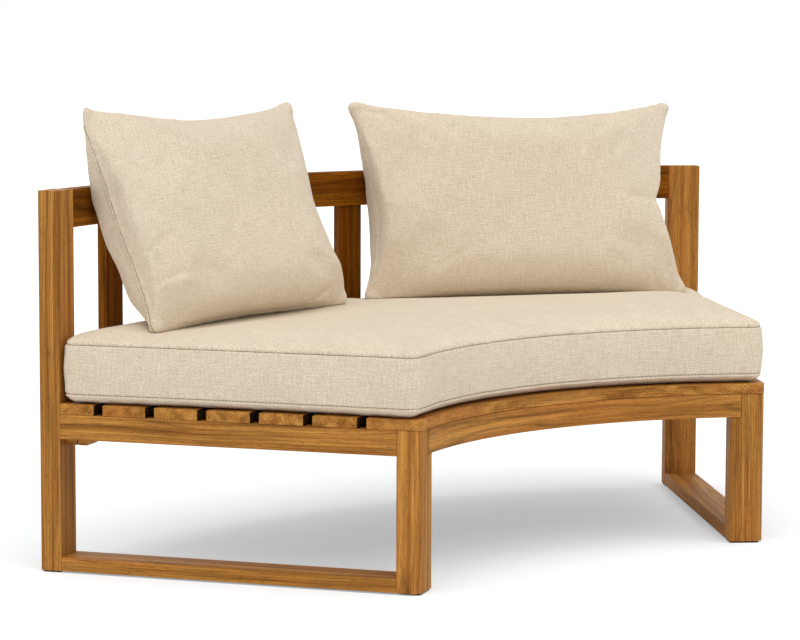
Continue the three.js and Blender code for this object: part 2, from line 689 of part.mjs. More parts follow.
function pillowGeometry(pillow) {
  const { columns, rows } = pillow;
  const points = [];
  const places = new Map();
  const place = (i, j, face) => {
    const onSeam = i === 0 || j === 0 || i === columns || j === rows;
    const key = `${i},${j},${onSeam ? 0 : face}`;
    if (!places.has(key)) {
      places.set(key, points.length);
      points.push(pillowPoint(pillow, pillowShare(i, columns), pillowShare(j, rows), onSeam ? 0 : face));
    }
    return places.get(key);
  };
  const index = [];
  for (const face of [-1, 1]) {
    for (let i = 0; i < columns; i += 1) {
      for (let j = 0; j < rows; j += 1) {
        const corners = [[i, j], [i + 1, j], [i + 1, j + 1], [i, j + 1]].map(([x, z]) => place(x, z, face));
        const [a, b, c, d] = face < 0 ? corners : corners.reverse();
        index.push(a, b, c, a, c, d);
      }
    }
  }
  const geometry = new THREE.BufferGeometry().setFromPoints(points);
  geometry.setIndex(index);
  return geometry;
}

function pillowPoints(mesh) {
  mesh.updateMatrix();
  const positions = mesh.geometry.getAttribute('position');
  return Array.from({ length: positions.count }, (_, i) =>
    new THREE.Vector3().fromBufferAttribute(positions, i).applyMatrix4(mesh.matrix));
}

// The pillow's points beside the top rail, with those where its edges pass the rail's top and bottom
function pointsBesideRail(mesh, points) {
  const beside = points.filter((point) => point.z > TOP_RAIL_BOTTOM && point.z < BACK_HEIGHT);
  const index = mesh.geometry.getIndex().array;
  for (let i = 0; i < index.length; i += 1) {
    const low = points[index[i]];
    const high = points[index[i % 3 === 2 ? i - 2 : i + 1]];
    for (const height of topRailHeights) {
      if (low.z < height && high.z > height) {
        beside.push(low.clone().lerp(high, (height - low.z) / (high.z - low.z)));
      }
    }
  }
  return beside;
}

// Rests the pillow on the cushion and leans it on the top rail: it is let down until its lowest point
// is one gap above the cushion, and pushed back until its nearest point is one clearance from the rail.
function seatPillow(mesh, pillow) {
  const facing = pillow.angle - pillow.turn;
  const back = new THREE.Vector3(Math.sin(facing), Math.cos(facing), 0);
  for (let round = 0; round < SEATING_ROUNDS; round += 1) {
    const points = pillowPoints(mesh);
    mesh.position.z -= Math.min(...points.map((point) => point.z - cushionTopAt(point))) - JOINT_GAP;
    const beside = pointsBesideRail(mesh, points);
    const reach = Math.max(...beside.map((point) => Math.hypot(point.x, point.y)));
    mesh.position.addScaledVector(back, POST_FRONT - PILLOW_CLEARANCE - reach);
  }
}

function makePillow(name, pillow) {
  const mesh = addPiece(name, pillowGeometry(pillow), LINEN);
  mesh.rotation.set(-pillow.lean, 0, pillow.turn - pillow.angle, 'ZYX');
  const start = (CUSHION_FRONT + CUSHION_BACK) / 2;
  mesh.position.set(start * Math.sin(pillow.angle), start * Math.cos(pillow.angle), CUSHION_TOP);
  seatPillow(mesh, pillow);
}

makeLegs();
makePosts();
makeSkids();
makeEndAprons();
makeGlides();
makeCornerBlocks();
makeLedgers();
makeScrews();
makeFrontApron();
makeBackApron();
makeTopRail();
makeStiles();
makeBearers();
makeSlats();
makeSeatCushion();
makePillow('left_pillow', LEFT_PILLOW);
makePillow('right_pillow', RIGHT_PILLOW);

// The origin is on the floor below the middle of the bench.
const extent = new THREE.Box3().setFromObject(bench, true);
const middle = extent.getCenter(new THREE.Vector3());
bench.position.set(-middle.x, -middle.y, -extent.min.z);

export default bench;
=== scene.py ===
# %% [markdown]
# # Dressing a curved garden bench
# The bench is already built, in real sizes: one sector of a round sofa, with loop-shaped end frames, curved
# rails, arc slats, a boxed seat cushion and two loose pillows. Here it gets the look of the real one. The
# timber keeps its shape, so it only needs eased edges and oiled teak. The cushions are plain solids, so each
# one is remade as sewn cloth, blown up a little from inside, as stuffing does.

# %% Load the frame
import math
import random

import bmesh
import bpy
import numpy as np
from mathutils import Matrix, Vector, noise
from mathutils.bvhtree import BVHTree


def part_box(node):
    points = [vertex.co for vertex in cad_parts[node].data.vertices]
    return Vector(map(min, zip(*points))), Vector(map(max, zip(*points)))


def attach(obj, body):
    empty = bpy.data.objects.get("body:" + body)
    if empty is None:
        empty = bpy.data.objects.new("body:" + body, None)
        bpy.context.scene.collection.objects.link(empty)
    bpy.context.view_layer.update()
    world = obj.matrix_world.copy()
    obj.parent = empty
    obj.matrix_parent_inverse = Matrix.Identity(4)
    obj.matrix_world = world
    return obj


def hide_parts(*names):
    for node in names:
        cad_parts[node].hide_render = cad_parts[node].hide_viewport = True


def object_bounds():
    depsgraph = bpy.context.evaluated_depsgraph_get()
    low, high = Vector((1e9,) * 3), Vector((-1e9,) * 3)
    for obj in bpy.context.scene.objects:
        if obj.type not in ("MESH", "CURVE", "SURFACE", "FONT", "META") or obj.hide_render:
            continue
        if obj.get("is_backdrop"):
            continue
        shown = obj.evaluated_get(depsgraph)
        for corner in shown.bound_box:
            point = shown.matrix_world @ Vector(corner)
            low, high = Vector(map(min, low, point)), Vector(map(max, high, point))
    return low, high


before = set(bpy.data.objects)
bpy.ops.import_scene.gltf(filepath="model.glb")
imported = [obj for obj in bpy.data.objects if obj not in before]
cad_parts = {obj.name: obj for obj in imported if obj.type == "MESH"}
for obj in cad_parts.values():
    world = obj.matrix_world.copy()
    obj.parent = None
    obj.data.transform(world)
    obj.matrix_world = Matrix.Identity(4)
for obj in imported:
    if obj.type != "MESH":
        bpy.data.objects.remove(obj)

scene = bpy.context.scene
cad_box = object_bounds()

# %% [markdown]
# ## Camera
# The picture to match was taken from the front left, at about the height of a seated person's eyes, with a
# long lens. A long lens keeps the legs upright and parallel. The camera looks along a heading, measured from
# straight ahead (+Y) towards the right, and it is tilted down a little.

# %% Camera
PHOTO_WIDTH = 800
PHOTO_FOCAL_LENGTH = 2836.06  # in pixels of the photograph
SENSOR_WIDTH = 36.0  # millimetres
CAMERA_PLACE = Vector((-3.5250, -4.2406, 0.9958))
CAMERA_HEADING = math.radians(38.643)
CAMERA_TILT = math.radians(5.89)
CAMERA_ROLL = math.radians(0.172)

camera = bpy.data.objects.new("camera", bpy.data.cameras.new("camera"))
scene.collection.objects.link(camera)
camera.data.sensor_width = SENSOR_WIDTH
camera.data.lens = PHOTO_FOCAL_LENGTH / PHOTO_WIDTH * SENSOR_WIDTH
heading = Matrix.Rotation(-CAMERA_HEADING, 4, "Z")
tilt = Matrix.Rotation(math.pi / 2 - CAMERA_TILT, 4, "X")
roll = Matrix.Rotation(CAMERA_ROLL, 4, "Z")
camera.matrix_world = Matrix.Translation(CAMERA_PLACE) @ heading @ tilt @ roll
scene.camera = camera
print(f"camera: {camera.data.lens:.1f} mm lens at {[round(c, 2) for c in CAMERA_PLACE]}")

# %% [markdown]
# ## Light and floor
# A pale studio: the sky is an even white dome, which fills every shadow softly, and one very broad lamp high
# behind the camera gives the cushions their shape. The background is white in the picture, so the floor's far
# edge doesn't show, and the floor keeps the soft shadow under the bench. What the camera sees of the sky is
# set apart from what lights the bench, so that a white background doesn't light the bench more.

# %% Light
BACKGROUND = 1.0
DOME_STRENGTH = 0.66
LAMP_STRENGTH = 1.5
LAMP_SOFTNESS = math.radians(75)
LAMP_HEADING = math.radians(30)
LAMP_HEIGHT = math.radians(68)


def add_node(tree, kind, **settings):
    made = tree.nodes.new(kind)
    for name, value in settings.items():
        setattr(made, name, value)
    return made


def light_path_share(tree):
    """1 for a ray that sees the background or its reflection, and 0 for a ray that lights things."""
    path = add_node(tree, "ShaderNodeLightPath")
    total = path.outputs["Is Camera Ray"]
    for name in ("Is Glossy Ray", "Is Transmission Ray"):
        add = add_node(tree, "ShaderNodeMath", operation="MAXIMUM")
        tree.links.new(total, add.inputs[0])
        tree.links.new(path.outputs[name], add.inputs[1])
        total = add.outputs[0]
    return total


def make_sky():
    sky = bpy.data.worlds.new("sky")
    sky.use_nodes = True
    tree = sky.node_tree
    tree.nodes.clear()
    dome = add_node(tree, "ShaderNodeBackground")
    dome.inputs["Strength"].default_value = DOME_STRENGTH
    seen = add_node(tree, "ShaderNodeBackground")
    seen.inputs["Strength"].default_value = BACKGROUND
    for background in (dome, seen):
        background.inputs["Color"].default_value = (1, 1, 1, 1)
    mix = add_node(tree, "ShaderNodeMixShader")
    output = add_node(tree, "ShaderNodeOutputWorld")
    tree.links.new(light_path_share(tree), mix.inputs["Fac"])
    tree.links.new(dome.outputs[0], mix.inputs[1])
    tree.links.new(seen.outputs[0], mix.inputs[2])
    tree.links.new(mix.outputs[0], output.inputs["Surface"])
    scene.world = sky


def make_lamp():
    lamp = bpy.data.objects.new("lamp", bpy.data.lights.new("lamp", "SUN"))
    lamp.data.energy = LAMP_STRENGTH
    lamp.data.angle = LAMP_SOFTNESS
    towards = Matrix.Rotation(-LAMP_HEADING, 4, "Z") @ Matrix.Rotation(math.pi / 2 - LAMP_HEIGHT, 4, "X")
    lamp.matrix_world = towards
    scene.collection.objects.link(lamp)


make_sky()
make_lamp()
scene.view_settings.view_transform = "Standard"
print(f"light: dome at {DOME_STRENGTH}, lamp at {LAMP_STRENGTH}")

# %% Floor
FLOOR_SIZE = 60.0
FLOOR_COLOUR = (0.90, 0.90, 0.90, 1)
FLOOR_SEEN = (0.780, 0.745, 0.730, 1)
FLOOR_LIFT = (0.306, 0.358, 0.380, 1)


def new_object(name, bm, material):
    mesh = bpy.data.meshes.new(name)
    bm.to_mesh(mesh)
    bm.free()
    made = bpy.data.objects.new(name, mesh)
    scene.collection.objects.link(made)
    mesh.materials.append(material)
    return made


def make_floor():
    bm = bmesh.new()
    bmesh.ops.create_grid(bm, x_segments=1, y_segments=1, size=FLOOR_SIZE)
    new_object("floor", bm, make_floor_paint())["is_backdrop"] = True


def make_floor_paint():
    """Pale paint. For the camera it is a little lifted, as in a studio print, so its shadow stays light."""
    paint = bpy.data.materials.new("floor_paint")
    paint.use_nodes = True
    tree = paint.node_tree
    tree.nodes.clear()
    plain = add_node(tree, "ShaderNodeBsdfDiffuse")
    plain.inputs["Color"].default_value = FLOOR_COLOUR
    seen = add_node(tree, "ShaderNodeBsdfDiffuse")
    seen.inputs["Color"].default_value = FLOOR_SEEN
    lift = add_node(tree, "ShaderNodeEmission")
    lift.inputs["Color"].default_value = FLOOR_LIFT
    lifted = add_node(tree, "ShaderNodeAddShader")
    tree.links.new(seen.outputs[0], lifted.inputs[0])
    tree.links.new(lift.outputs[0], lifted.inputs[1])
    mix = add_node(tree, "ShaderNodeMixShader")
    tree.links.new(add_node(tree, "ShaderNodeLightPath").outputs["Is Camera Ray"], mix.inputs["Fac"])
    tree.links.new(plain.outputs[0], mix.inputs[1])
    tree.links.new(lifted.outputs[0], mix.inputs[2])
    output = add_node(tree, "ShaderNodeOutputMaterial")
    tree.links.new(mix.outputs[0], output.inputs["Surface"])
    return paint


make_floor()
print(f"floor: {FLOOR_SIZE:.0f} m to each side of the bench")

# %% [markdown]
# ## Where the arcs are
# All the curved pieces share one centre. It is found from the last slat's outer edge: its middle and its end
# corner lie on one circle, and that gives the centre, the radius and the angle of the end planes. Places on
# the bench are then easy to name, as a radius and an angle.

# %% Centre of the arcs
outer_slat = np.array([v.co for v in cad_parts["seat_slat_6"].data.vertices])
end_corner = outer_slat[outer_slat[:, 0].argmax()]
arc_middle_y = outer_slat[:, 1].max()
ARC_CENTRE_Y = float(
    (end_corner[0] ** 2 + end_corner[1] ** 2 - arc_middle_y**2) / (2 * (end_corner[1] - arc_middle_y))
)
HALF_ANGLE = math.atan2(end_corner[0], end_corner[1] - ARC_CENTRE_Y)
rail = np.array([v.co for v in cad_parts["top_rail"].data.vertices])
RAIL_FACE_RADIUS = float(np.hypot(rail[:, 0], rail[:, 1] - ARC_CENTRE_Y).min())
RAIL_LOW, RAIL_HIGH = (corner.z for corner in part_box("top_rail"))
print(f"arcs: centre at y = {ARC_CENTRE_Y:.4f}, ends at {math.degrees(HALF_ANGLE):.2f} degrees")
print(f"top rail: face at a radius of {RAIL_FACE_RADIUS:.4f}, from {RAIL_LOW:.3f} to {RAIL_HIGH:.3f} up")

# %% [markdown]
# ## Oiled teak
# Teak is a golden brown, with fine straight streaks, short dark pores and growth rings that show as lines on
# a face and as arcs on the end of a board. One solid pattern gives all three. It is written in the wood's own
# directions: the first is along the grain, and the other two are across it, with the tree's pith some way
# outside the board. Each piece stores these directions as an attribute called grain, so that one material
# serves them all, and boards that are cut from straight planks show their grain running out at the ends.

# %% Node helpers
def scaled_noise(tree, vector, scale, detail=2.0, roughness=0.5):
    """Noise that is stretched by one scale along each direction. Its value is about 0.5 on average."""
    stretch = add_node(tree, "ShaderNodeVectorMath", operation="MULTIPLY")
    stretch.inputs[1].default_value = scale
    texture = add_node(tree, "ShaderNodeTexNoise", noise_dimensions="3D")
    texture.inputs["Scale"].default_value = 1.0
    texture.inputs["Detail"].default_value = detail
    texture.inputs["Roughness"].default_value = roughness
    tree.links.new(vector, stretch.inputs[0])
    tree.links.new(stretch.outputs[0], texture.inputs["Vector"])
    return texture


def ranged(tree, value, low, high, to_low=0.0, to_high=1.0):
    """The value, with low to high spread over to_low to to_high and held at both ends."""
    spread = add_node(tree, "ShaderNodeMapRange", clamp=True)
    tree.links.new(value, spread.inputs["Value"])
    for name, number in zip(("From Min", "From Max", "To Min", "To Max"), (low, high, to_low, to_high)):
        spread.inputs[name].default_value = number
    return spread.outputs["Result"]


def maths(tree, operation, first, second):
    made = add_node(tree, "ShaderNodeMath", operation=operation)
    for socket, value in zip(made.inputs, (first, second)):
        if isinstance(value, (int, float)):
            socket.default_value = value
        else:
            tree.links.new(value, socket)
    return made.outputs[0]


def mixed(tree, share, first, second, blend="MIX"):
    made = add_node(tree, "ShaderNodeMix", data_type="RGBA", blend_type=blend)
    sockets = (made.inputs[0], made.inputs[6], made.inputs[7])
    for socket, value in zip(sockets, (share, first, second)):
        if isinstance(value, (int, float, tuple)):
            socket.default_value = value
        else:
            tree.links.new(value, socket)
    return made.outputs[2]


def grey(tree, value):
    """The value as a colour, for multiplying."""
    made = add_node(tree, "ShaderNodeCombineColor")
    for socket in made.inputs[:3]:
        tree.links.new(value, socket)
    return made.outputs[0]


def start_material(name):
    material = bpy.data.materials.new(name)
    material.use_nodes = True
    tree = material.node_tree
    tree.nodes.clear()
    shader = add_node(tree, "ShaderNodeBsdfPrincipled")
    output = add_node(tree, "ShaderNodeOutputMaterial")
    tree.links.new(shader.outputs[0], output.inputs["Surface"])
    return material, tree, shader


def add_bump(tree, shader, height, strength, depth):
    bump = add_node(tree, "ShaderNodeBump")
    bump.inputs["Strength"].default_value = strength
    bump.inputs["Distance"].default_value = depth
    tree.links.new(height, bump.inputs["Height"])
    tree.links.new(bump.outputs[0], shader.inputs["Normal"])


print("helpers: noise, ranges, sums, mixing, greys and bumps")

# %% Teak material
GOLDEN_TEAK = {
    "dark": (0.260, 0.096, 0.011, 1),
    "pale": (0.560, 0.258, 0.050, 1),
    "red": (0.440, 0.148, 0.024, 1),
}
# A darker, browner copy of the teak, which is painted shade: the back pieces stand in shade behind the
# cushions.
TEAK_TONES_IN_PAINTED_SHADE = {
    "dark": (0.110, 0.031, 0.001, 1),
    "pale": (0.270, 0.092, 0.004, 1),
    "red": (0.210, 0.055, 0.002, 1),
}
BAND_SCALE = (1.3, 70, 70)
PATCH_SCALE = (1.8, 24, 24)
STREAK_SCALE = (9, 520, 520)
PORE_SCALE = (70, 1100, 1100)
BEND_SCALE = (2.0, 6, 6)
BEND_REACH = 0.02
RING_WIDTH = 0.0048
RING_DRIFT = 2.5  # how many rings the patches shift the pattern by
STREAK_LIGHT, RING_LIGHT, PORE_LIGHT = (0.66, 1.30), (1.07, 0.70), (1.02, 0.55)
TEAK_ROUGHNESS = (0.46, 0.60)
PORE_DEPTH = 0.00025


def make_teak(name, tones, red_share, gloss):
    material, tree, shader = start_material(name)
    grain = add_node(tree, "ShaderNodeAttribute", attribute_name="grain").outputs["Vector"]

    drift = scaled_noise(tree, grain, BEND_SCALE, detail=1.0).outputs["Color"]
    centred = add_node(tree, "ShaderNodeVectorMath", operation="SUBTRACT")
    centred.inputs[1].default_value = (0.5, 0.5, 0.5)
    tree.links.new(drift, centred.inputs[0])
    shift = add_node(tree, "ShaderNodeVectorMath", operation="MULTIPLY_ADD")
    shift.inputs[1].default_value = (0, BEND_REACH, BEND_REACH)
    tree.links.new(centred.outputs[0], shift.inputs[0])
    tree.links.new(grain, shift.inputs[2])
    wood = shift.outputs[0]

    band = scaled_noise(tree, wood, BAND_SCALE, detail=2.0).outputs["Fac"]
    patch = scaled_noise(tree, wood, PATCH_SCALE, detail=1.0).outputs["Fac"]
    streak = scaled_noise(tree, wood, STREAK_SCALE, detail=2.0, roughness=0.6).outputs["Fac"]
    pore = scaled_noise(tree, wood, PORE_SCALE, detail=1.0).outputs["Fac"]

    apart = add_node(tree, "ShaderNodeSeparateXYZ")
    tree.links.new(wood, apart.inputs[0])
    square_y = maths(tree, "MULTIPLY", apart.outputs["Y"], apart.outputs["Y"])
    square_z = maths(tree, "MULTIPLY", apart.outputs["Z"], apart.outputs["Z"])
    from_pith = maths(tree, "SQRT", maths(tree, "ADD", square_y, square_z), 0.0)
    ring_place = maths(tree, "DIVIDE", from_pith, RING_WIDTH)
    ring_place = maths(tree, "ADD", ring_place, maths(tree, "MULTIPLY", patch, RING_DRIFT))
    ring = maths(tree, "FRACT", ring_place, 0.0)
    ring_line = ranged(tree, maths(tree, "ABSOLUTE", maths(tree, "SUBTRACT", ring, 0.5), 0.0), 0.30, 0.5)

    colour = mixed(tree, ranged(tree, band, 0.33, 0.67), tones["dark"], tones["pale"])
    colour = mixed(tree, ranged(tree, patch, 0.45, 0.75, 0.0, red_share), colour, tones["red"])
    light = ranged(tree, streak, 0.28, 0.72, *STREAK_LIGHT)
    light = maths(tree, "MULTIPLY", light, ranged(tree, ring_line, 0.0, 1.0, *RING_LIGHT))
    pore_share = ranged(tree, pore, 0.58, 0.70)
    light = maths(tree, "MULTIPLY", light, ranged(tree, pore_share, 0.0, 1.0, *PORE_LIGHT))
    # The shade attribute paints shade into the colour and the gloss, nearly black in the gaps between the
    # slats.
    painted_shade = add_node(tree, "ShaderNodeAttribute", attribute_name="shade").outputs["Fac"]
    light = maths(tree, "MULTIPLY", light, painted_shade)
    tree.links.new(maths(tree, "MULTIPLY", painted_shade, gloss), shader.inputs["Specular IOR Level"])
    colour = mixed(tree, 1.0, colour, grey(tree, light), blend="MULTIPLY")
    tree.links.new(colour, shader.inputs["Base Color"])

    rough = ranged(tree, streak, 0.3, 0.7, *TEAK_ROUGHNESS)
    tree.links.new(rough, shader.inputs["Roughness"])
    height = maths(tree, "SUBTRACT", maths(tree, "MULTIPLY", streak, 0.5), pore_share)
    add_bump(tree, shader, height, 0.5, PORE_DEPTH)
    return material


teak = make_teak("teak", GOLDEN_TEAK, red_share=0.55, gloss=0.18)
# The back pieces get the darker copy as painted shade, with less gloss.
dark_teak = make_teak("dark_teak", TEAK_TONES_IN_PAINTED_SHADE, red_share=0.8, gloss=0.05)
print(f"materials: {teak.name} with {len(teak.node_tree.nodes)} nodes, and {dark_teak.name} for the back")

# %% [markdown]
# ## Timber
# A sawn edge is never sharp: it is eased with sandpaper so that it can be touched, and that thin rounded
# edge is what catches the light. Each timber solid is copied, its flat faces are made whole again, and its
# outer edges get a small bevel. Weighted normals keep the large faces flat to the eye. The slats' narrow
# sides and the battens below them get painted shade, nearly black, so that the gaps between the slats look
# as dark as deep shade.

# %% Grain directions
EASED_EDGE = 0.0013
WELD_DISTANCE = 1e-5
SHARP_ANGLE = math.radians(30)
PITH_NEAR, PITH_FAR = 0.05, 0.13
# How dark the painted shade makes the slats' narrow sides and the battens, which stand in deep shade.
PAINTED_SHADE_LEVEL = 0.10


def polar(points):
    """Radius and angle about the centre of the arcs."""
    x, y = points[:, 0], points[:, 1] - ARC_CENTRE_Y
    return np.hypot(x, y), np.arctan2(x, y)


def in_end_frame(points, side):
    """Distance along the end plane's radius and in from the end plane, as for the end frames."""
    x, y = points[:, 0] * side, points[:, 1] - ARC_CENTRE_Y
    along = x * math.sin(HALF_ANGLE) + y * math.cos(HALF_ANGLE)
    inwards = -x * math.cos(HALF_ANGLE) + y * math.sin(HALF_ANGLE)
    return along, inwards


def upright_grain(points, side):
    along, inwards = in_end_frame(points, side)
    return points[:, 2], along, inwards


def radial_grain(points, side):
    along, inwards = in_end_frame(points, side)
    return along, inwards, points[:, 2]


def straight_grain(points, side):
    return points[:, 0], points[:, 1], points[:, 2]


def bent_grain(points, side):
    radius, angle = polar(points)
    return angle * radius.mean(), radius, points[:, 2]


def stored_grain(piece, direction, side):
    """Writes the grain attribute: each piece comes from its own place in its own tree."""
    points = np.array([v.co for v in piece.data.vertices])
    along, across, through = direction(points, side)
    chance = random.Random(piece.name)
    turn = chance.uniform(0, 2 * math.pi)
    far = chance.uniform(PITH_NEAR, PITH_FAR)
    across = across - across.mean() + far * math.cos(turn)
    through = through - through.mean() + far * math.sin(turn)
    values = np.stack([along + chance.uniform(0, 50), across, through], axis=1)
    attribute = piece.data.attributes.new("grain", "FLOAT_VECTOR", "POINT")
    attribute.data.foreach_set("vector", values.astype(np.float32).ravel())


def stored_painted_shade(piece, painted_shade_all, painted_shade_sides):
    """Writes the shade attribute: 1 for oiled wood, lower for painted shade, nearly black, in the slat gaps.
    """
    middles = np.array([face.center for face in piece.data.polygons])
    normals = np.array([face.normal for face in piece.data.polygons])
    _, angle = polar(middles)
    radial = abs(normals[:, 0] * np.sin(angle) + normals[:, 1] * np.cos(angle))
    in_painted_shade = (radial > 0.75) if painted_shade_sides else np.full(len(middles), painted_shade_all)
    attribute = piece.data.attributes.new("shade", "FLOAT", "FACE")
    attribute.data.foreach_set("value", np.where(in_painted_shade, PAINTED_SHADE_LEVEL, 1.0).astype(np.float32))


print(f"grain: pith {PITH_NEAR * 1000:.0f} to {PITH_FAR * 1000:.0f} mm from the middle of each piece")

# %% Timber pieces
def merged_mesh(node):
    """A copy of a node's solid, with its loose triangles joined."""
    bm = bmesh.new()
    bm.from_mesh(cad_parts[node].data)
    bmesh.ops.remove_doubles(bm, verts=bm.verts, dist=WELD_DISTANCE)
    return bm


def add_piece(name, bm, body, material):
    piece = new_object(name, bm, material)
    piece.data.shade_smooth()
    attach(piece, body)
    return piece


def eased_timber(node, material, direction, side=1, painted_shade_all=False, painted_shade_sides=False):
    bm = merged_mesh(node)
    bmesh.ops.dissolve_limit(bm, angle_limit=math.radians(0.3), verts=bm.verts, edges=bm.edges)
    sharp = [e for e in bm.edges if e.is_convex and e.calc_face_angle(0) > SHARP_ANGLE]
    bmesh.ops.bevel(
        bm, geom=sharp, offset=EASED_EDGE, offset_type="OFFSET", affect="EDGES",
        segments=2, profile=0.5, clamp_overlap=True, material=-1,
    )
    piece = add_piece(f"{node}_timber", bm, "frame", material)
    piece.modifiers.new("flat_faces", "WEIGHTED_NORMAL")
    stored_grain(piece, direction, side)
    stored_painted_shade(piece, painted_shade_all, painted_shade_sides)
    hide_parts(node)
    return piece


timber = []
for label, side in (("left", -1), ("right", 1)):
    timber.append(eased_timber(f"{label}_back_post", teak, upright_grain, side))
    timber.append(eased_timber(f"{label}_front_leg", teak, upright_grain, side))
    for part in ("skid", "end_apron", "front_corner_block", "back_corner_block"):
        timber.append(eased_timber(f"{label}_{part}", teak, radial_grain, side))
    # The battens under the slats are painted shade all over, nearly black.
    for part in ("slat_ledger", "seat_bearer"):
        timber.append(eased_timber(f"{label}_{part}", teak, radial_grain, side, painted_shade_all=True))
timber.append(eased_timber("front_board", teak, straight_grain))
# The slats' narrow sides are painted shade, nearly black, to darken the gaps between them.
for number in range(1, 7):
    timber.append(eased_timber(f"seat_slat_{number}", teak, straight_grain, painted_shade_sides=True))
timber.append(eased_timber("front_apron", teak, bent_grain))
# The back apron, the top rail and the stiles take the teak with painted shade.
timber.append(eased_timber("back_apron", dark_teak, bent_grain))
timber.append(eased_timber("top_rail", dark_teak, bent_grain))
for number in range(1, 8):
    timber.append(eased_timber(f"back_stile_{number}", dark_teak, upright_grain))
print(f"timber: {len(timber)} pieces, {sum(len(p.data.polygons) for p in timber)} faces")

# %% [markdown]
# ## Linen
# The covers are woven from uneven beige yarn. From a step away the cloth looks almost plain, with short
# paler and darker threads in both directions; close up it shows the over and under of the weave. Both are
# laid out in metres by a UV map called weave, so that the threads follow each panel.

# %% Linen material
LINEN_PALE = (0.890, 0.770, 0.605, 1)
LINEN_DEEP = (0.600, 0.490, 0.350, 1)
THREAD_PITCH = 0.0044
SLUB_ACROSS, SLUB_ALONG = 420, 28
MOTTLE_SCALE = (360, 360, 360)
CLOUD_SCALE = (9, 9, 9)
WEAVE_LIGHT, CLOUD_LIGHT = (0.82, 1.13), (0.97, 1.02)
WEAVE_DEPTH = 0.0004


def woven_height(tree, cloth):
    """Bumps where one thread passes over the other."""
    apart = add_node(tree, "ShaderNodeSeparateXYZ")
    tree.links.new(cloth, apart.inputs[0])
    waves = []
    for axis in ("X", "Y"):
        turns = maths(tree, "MULTIPLY", apart.outputs[axis], 2 * math.pi / THREAD_PITCH)
        waves.append(maths(tree, "SINE", turns, 0.0))
    return maths(tree, "MULTIPLY", waves[0], waves[1])


def make_linen(name):
    material, tree, shader = start_material(name)
    cloth = add_node(tree, "ShaderNodeUVMap", uv_map="weave").outputs["UV"]
    height = woven_height(tree, cloth)
    upright = scaled_noise(tree, cloth, (SLUB_ACROSS, SLUB_ALONG, 1), detail=1.0).outputs["Fac"]
    level = scaled_noise(tree, cloth, (SLUB_ALONG, SLUB_ACROSS, 1), detail=1.0).outputs["Fac"]
    mottle = scaled_noise(tree, cloth, MOTTLE_SCALE, detail=2.0).outputs["Fac"]
    cloud = scaled_noise(tree, cloth, CLOUD_SCALE, detail=2.0).outputs["Fac"]

    slub = maths(tree, "MULTIPLY", maths(tree, "ADD", upright, level), 0.5)
    tone = maths(tree, "ADD", maths(tree, "MULTIPLY", slub, 0.45), maths(tree, "MULTIPLY", mottle, 0.55))
    colour = mixed(tree, ranged(tree, tone, 0.36, 0.64), LINEN_DEEP, LINEN_PALE)
    light = ranged(tree, height, -1.0, 1.0, *WEAVE_LIGHT)
    light = maths(tree, "MULTIPLY", light, ranged(tree, cloud, 0.3, 0.7, *CLOUD_LIGHT))
    colour = mixed(tree, 1.0, colour, grey(tree, light), blend="MULTIPLY")
    tree.links.new(colour, shader.inputs["Base Color"])

    shader.inputs["Roughness"].default_value = 0.92
    shader.inputs["Specular IOR Level"].default_value = 0.2
    shader.inputs["Sheen Weight"].default_value = 0.15
    shader.inputs["Sheen Roughness"].default_value = 0.6
    relief = maths(tree, "ADD", height, maths(tree, "MULTIPLY", slub, 3.0))
    add_bump(tree, shader, relief, 0.6, WEAVE_DEPTH)
    return material


linen = make_linen("linen")
print(f"material: {linen.name}, one thread every {THREAD_PITCH / 2 * 1000:.1f} mm")

# %% [markdown]
# ## Blowing up a cushion
# A cushion's cover is cut flat and pushed out by its filling. The same happens here: a copy of the plain
# solid is given an even mesh and blown up by Blender's cloth from the inside. The cloth next to the seams is
# held, because a seam barely stretches. How far each point may move is capped, so that the cushion stays as
# large as the real one. Then it is pressed against what it touches.

# %% Cloth helpers
PRESSURE = 4.0
CLOTH_FRAMES = 20
HELD_FULLY = 1.2


def applied(piece):
    """Replaces the piece's mesh by what its modifiers make of it."""
    made = bpy.data.meshes.new_from_object(piece.evaluated_get(bpy.context.evaluated_depsgraph_get()))
    old = piece.data
    piece.modifiers.clear()
    piece.data = made
    bpy.data.meshes.remove(old)
    made.name = piece.name


def stored_numbers(items, name, width, kind=np.float32):
    """What a mesh stores under a name, as an array with one row for each of the items."""
    numbers = np.empty(len(items) * width, kind)
    items.foreach_get(name, numbers)
    return numbers.reshape(-1, width)


def vertex_places(piece):
    return stored_numbers(piece.data.vertices, "co", 3).astype(float)


def vertex_normals(piece):
    return stored_numbers(piece.data.vertices, "normal", 3).astype(float)


def place_vertices(piece, places):
    piece.data.vertices.foreach_set("co", places.astype(np.float32).ravel())
    piece.data.update()


def evenly_meshed(node, name, solid, voxel):
    """The solid as a new piece of cloth that replaces the node, meshed in even squares."""
    piece = add_piece(name, solid, node, linen)
    remesh = piece.modifiers.new("even", "REMESH")
    remesh.mode = "VOXEL"
    remesh.voxel_size = voxel
    applied(piece)
    piece.data.shade_smooth()
    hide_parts(node)
    return piece


def evened(piece, values, rounds):
    """The values at the points, averaged with those of their neighbours again and again."""
    ends = stored_numbers(piece.data.edges, "vertices", 2, np.int32)
    first, second = ends.T
    count = np.bincount(ends.ravel(), minlength=len(values))[:, None]
    for _ in range(rounds):
        total = np.zeros_like(values)
        np.add.at(total, first, values[second])
        np.add.at(total, second, values[first])
        values = (values + total / count) / 2
    return values


def held_near(distance, reach):
    """How firmly cloth is held at a distance from its seam, from 1 beside it to 0 past the reach."""
    return np.clip(HELD_FULLY - distance / reach, 0, 1)


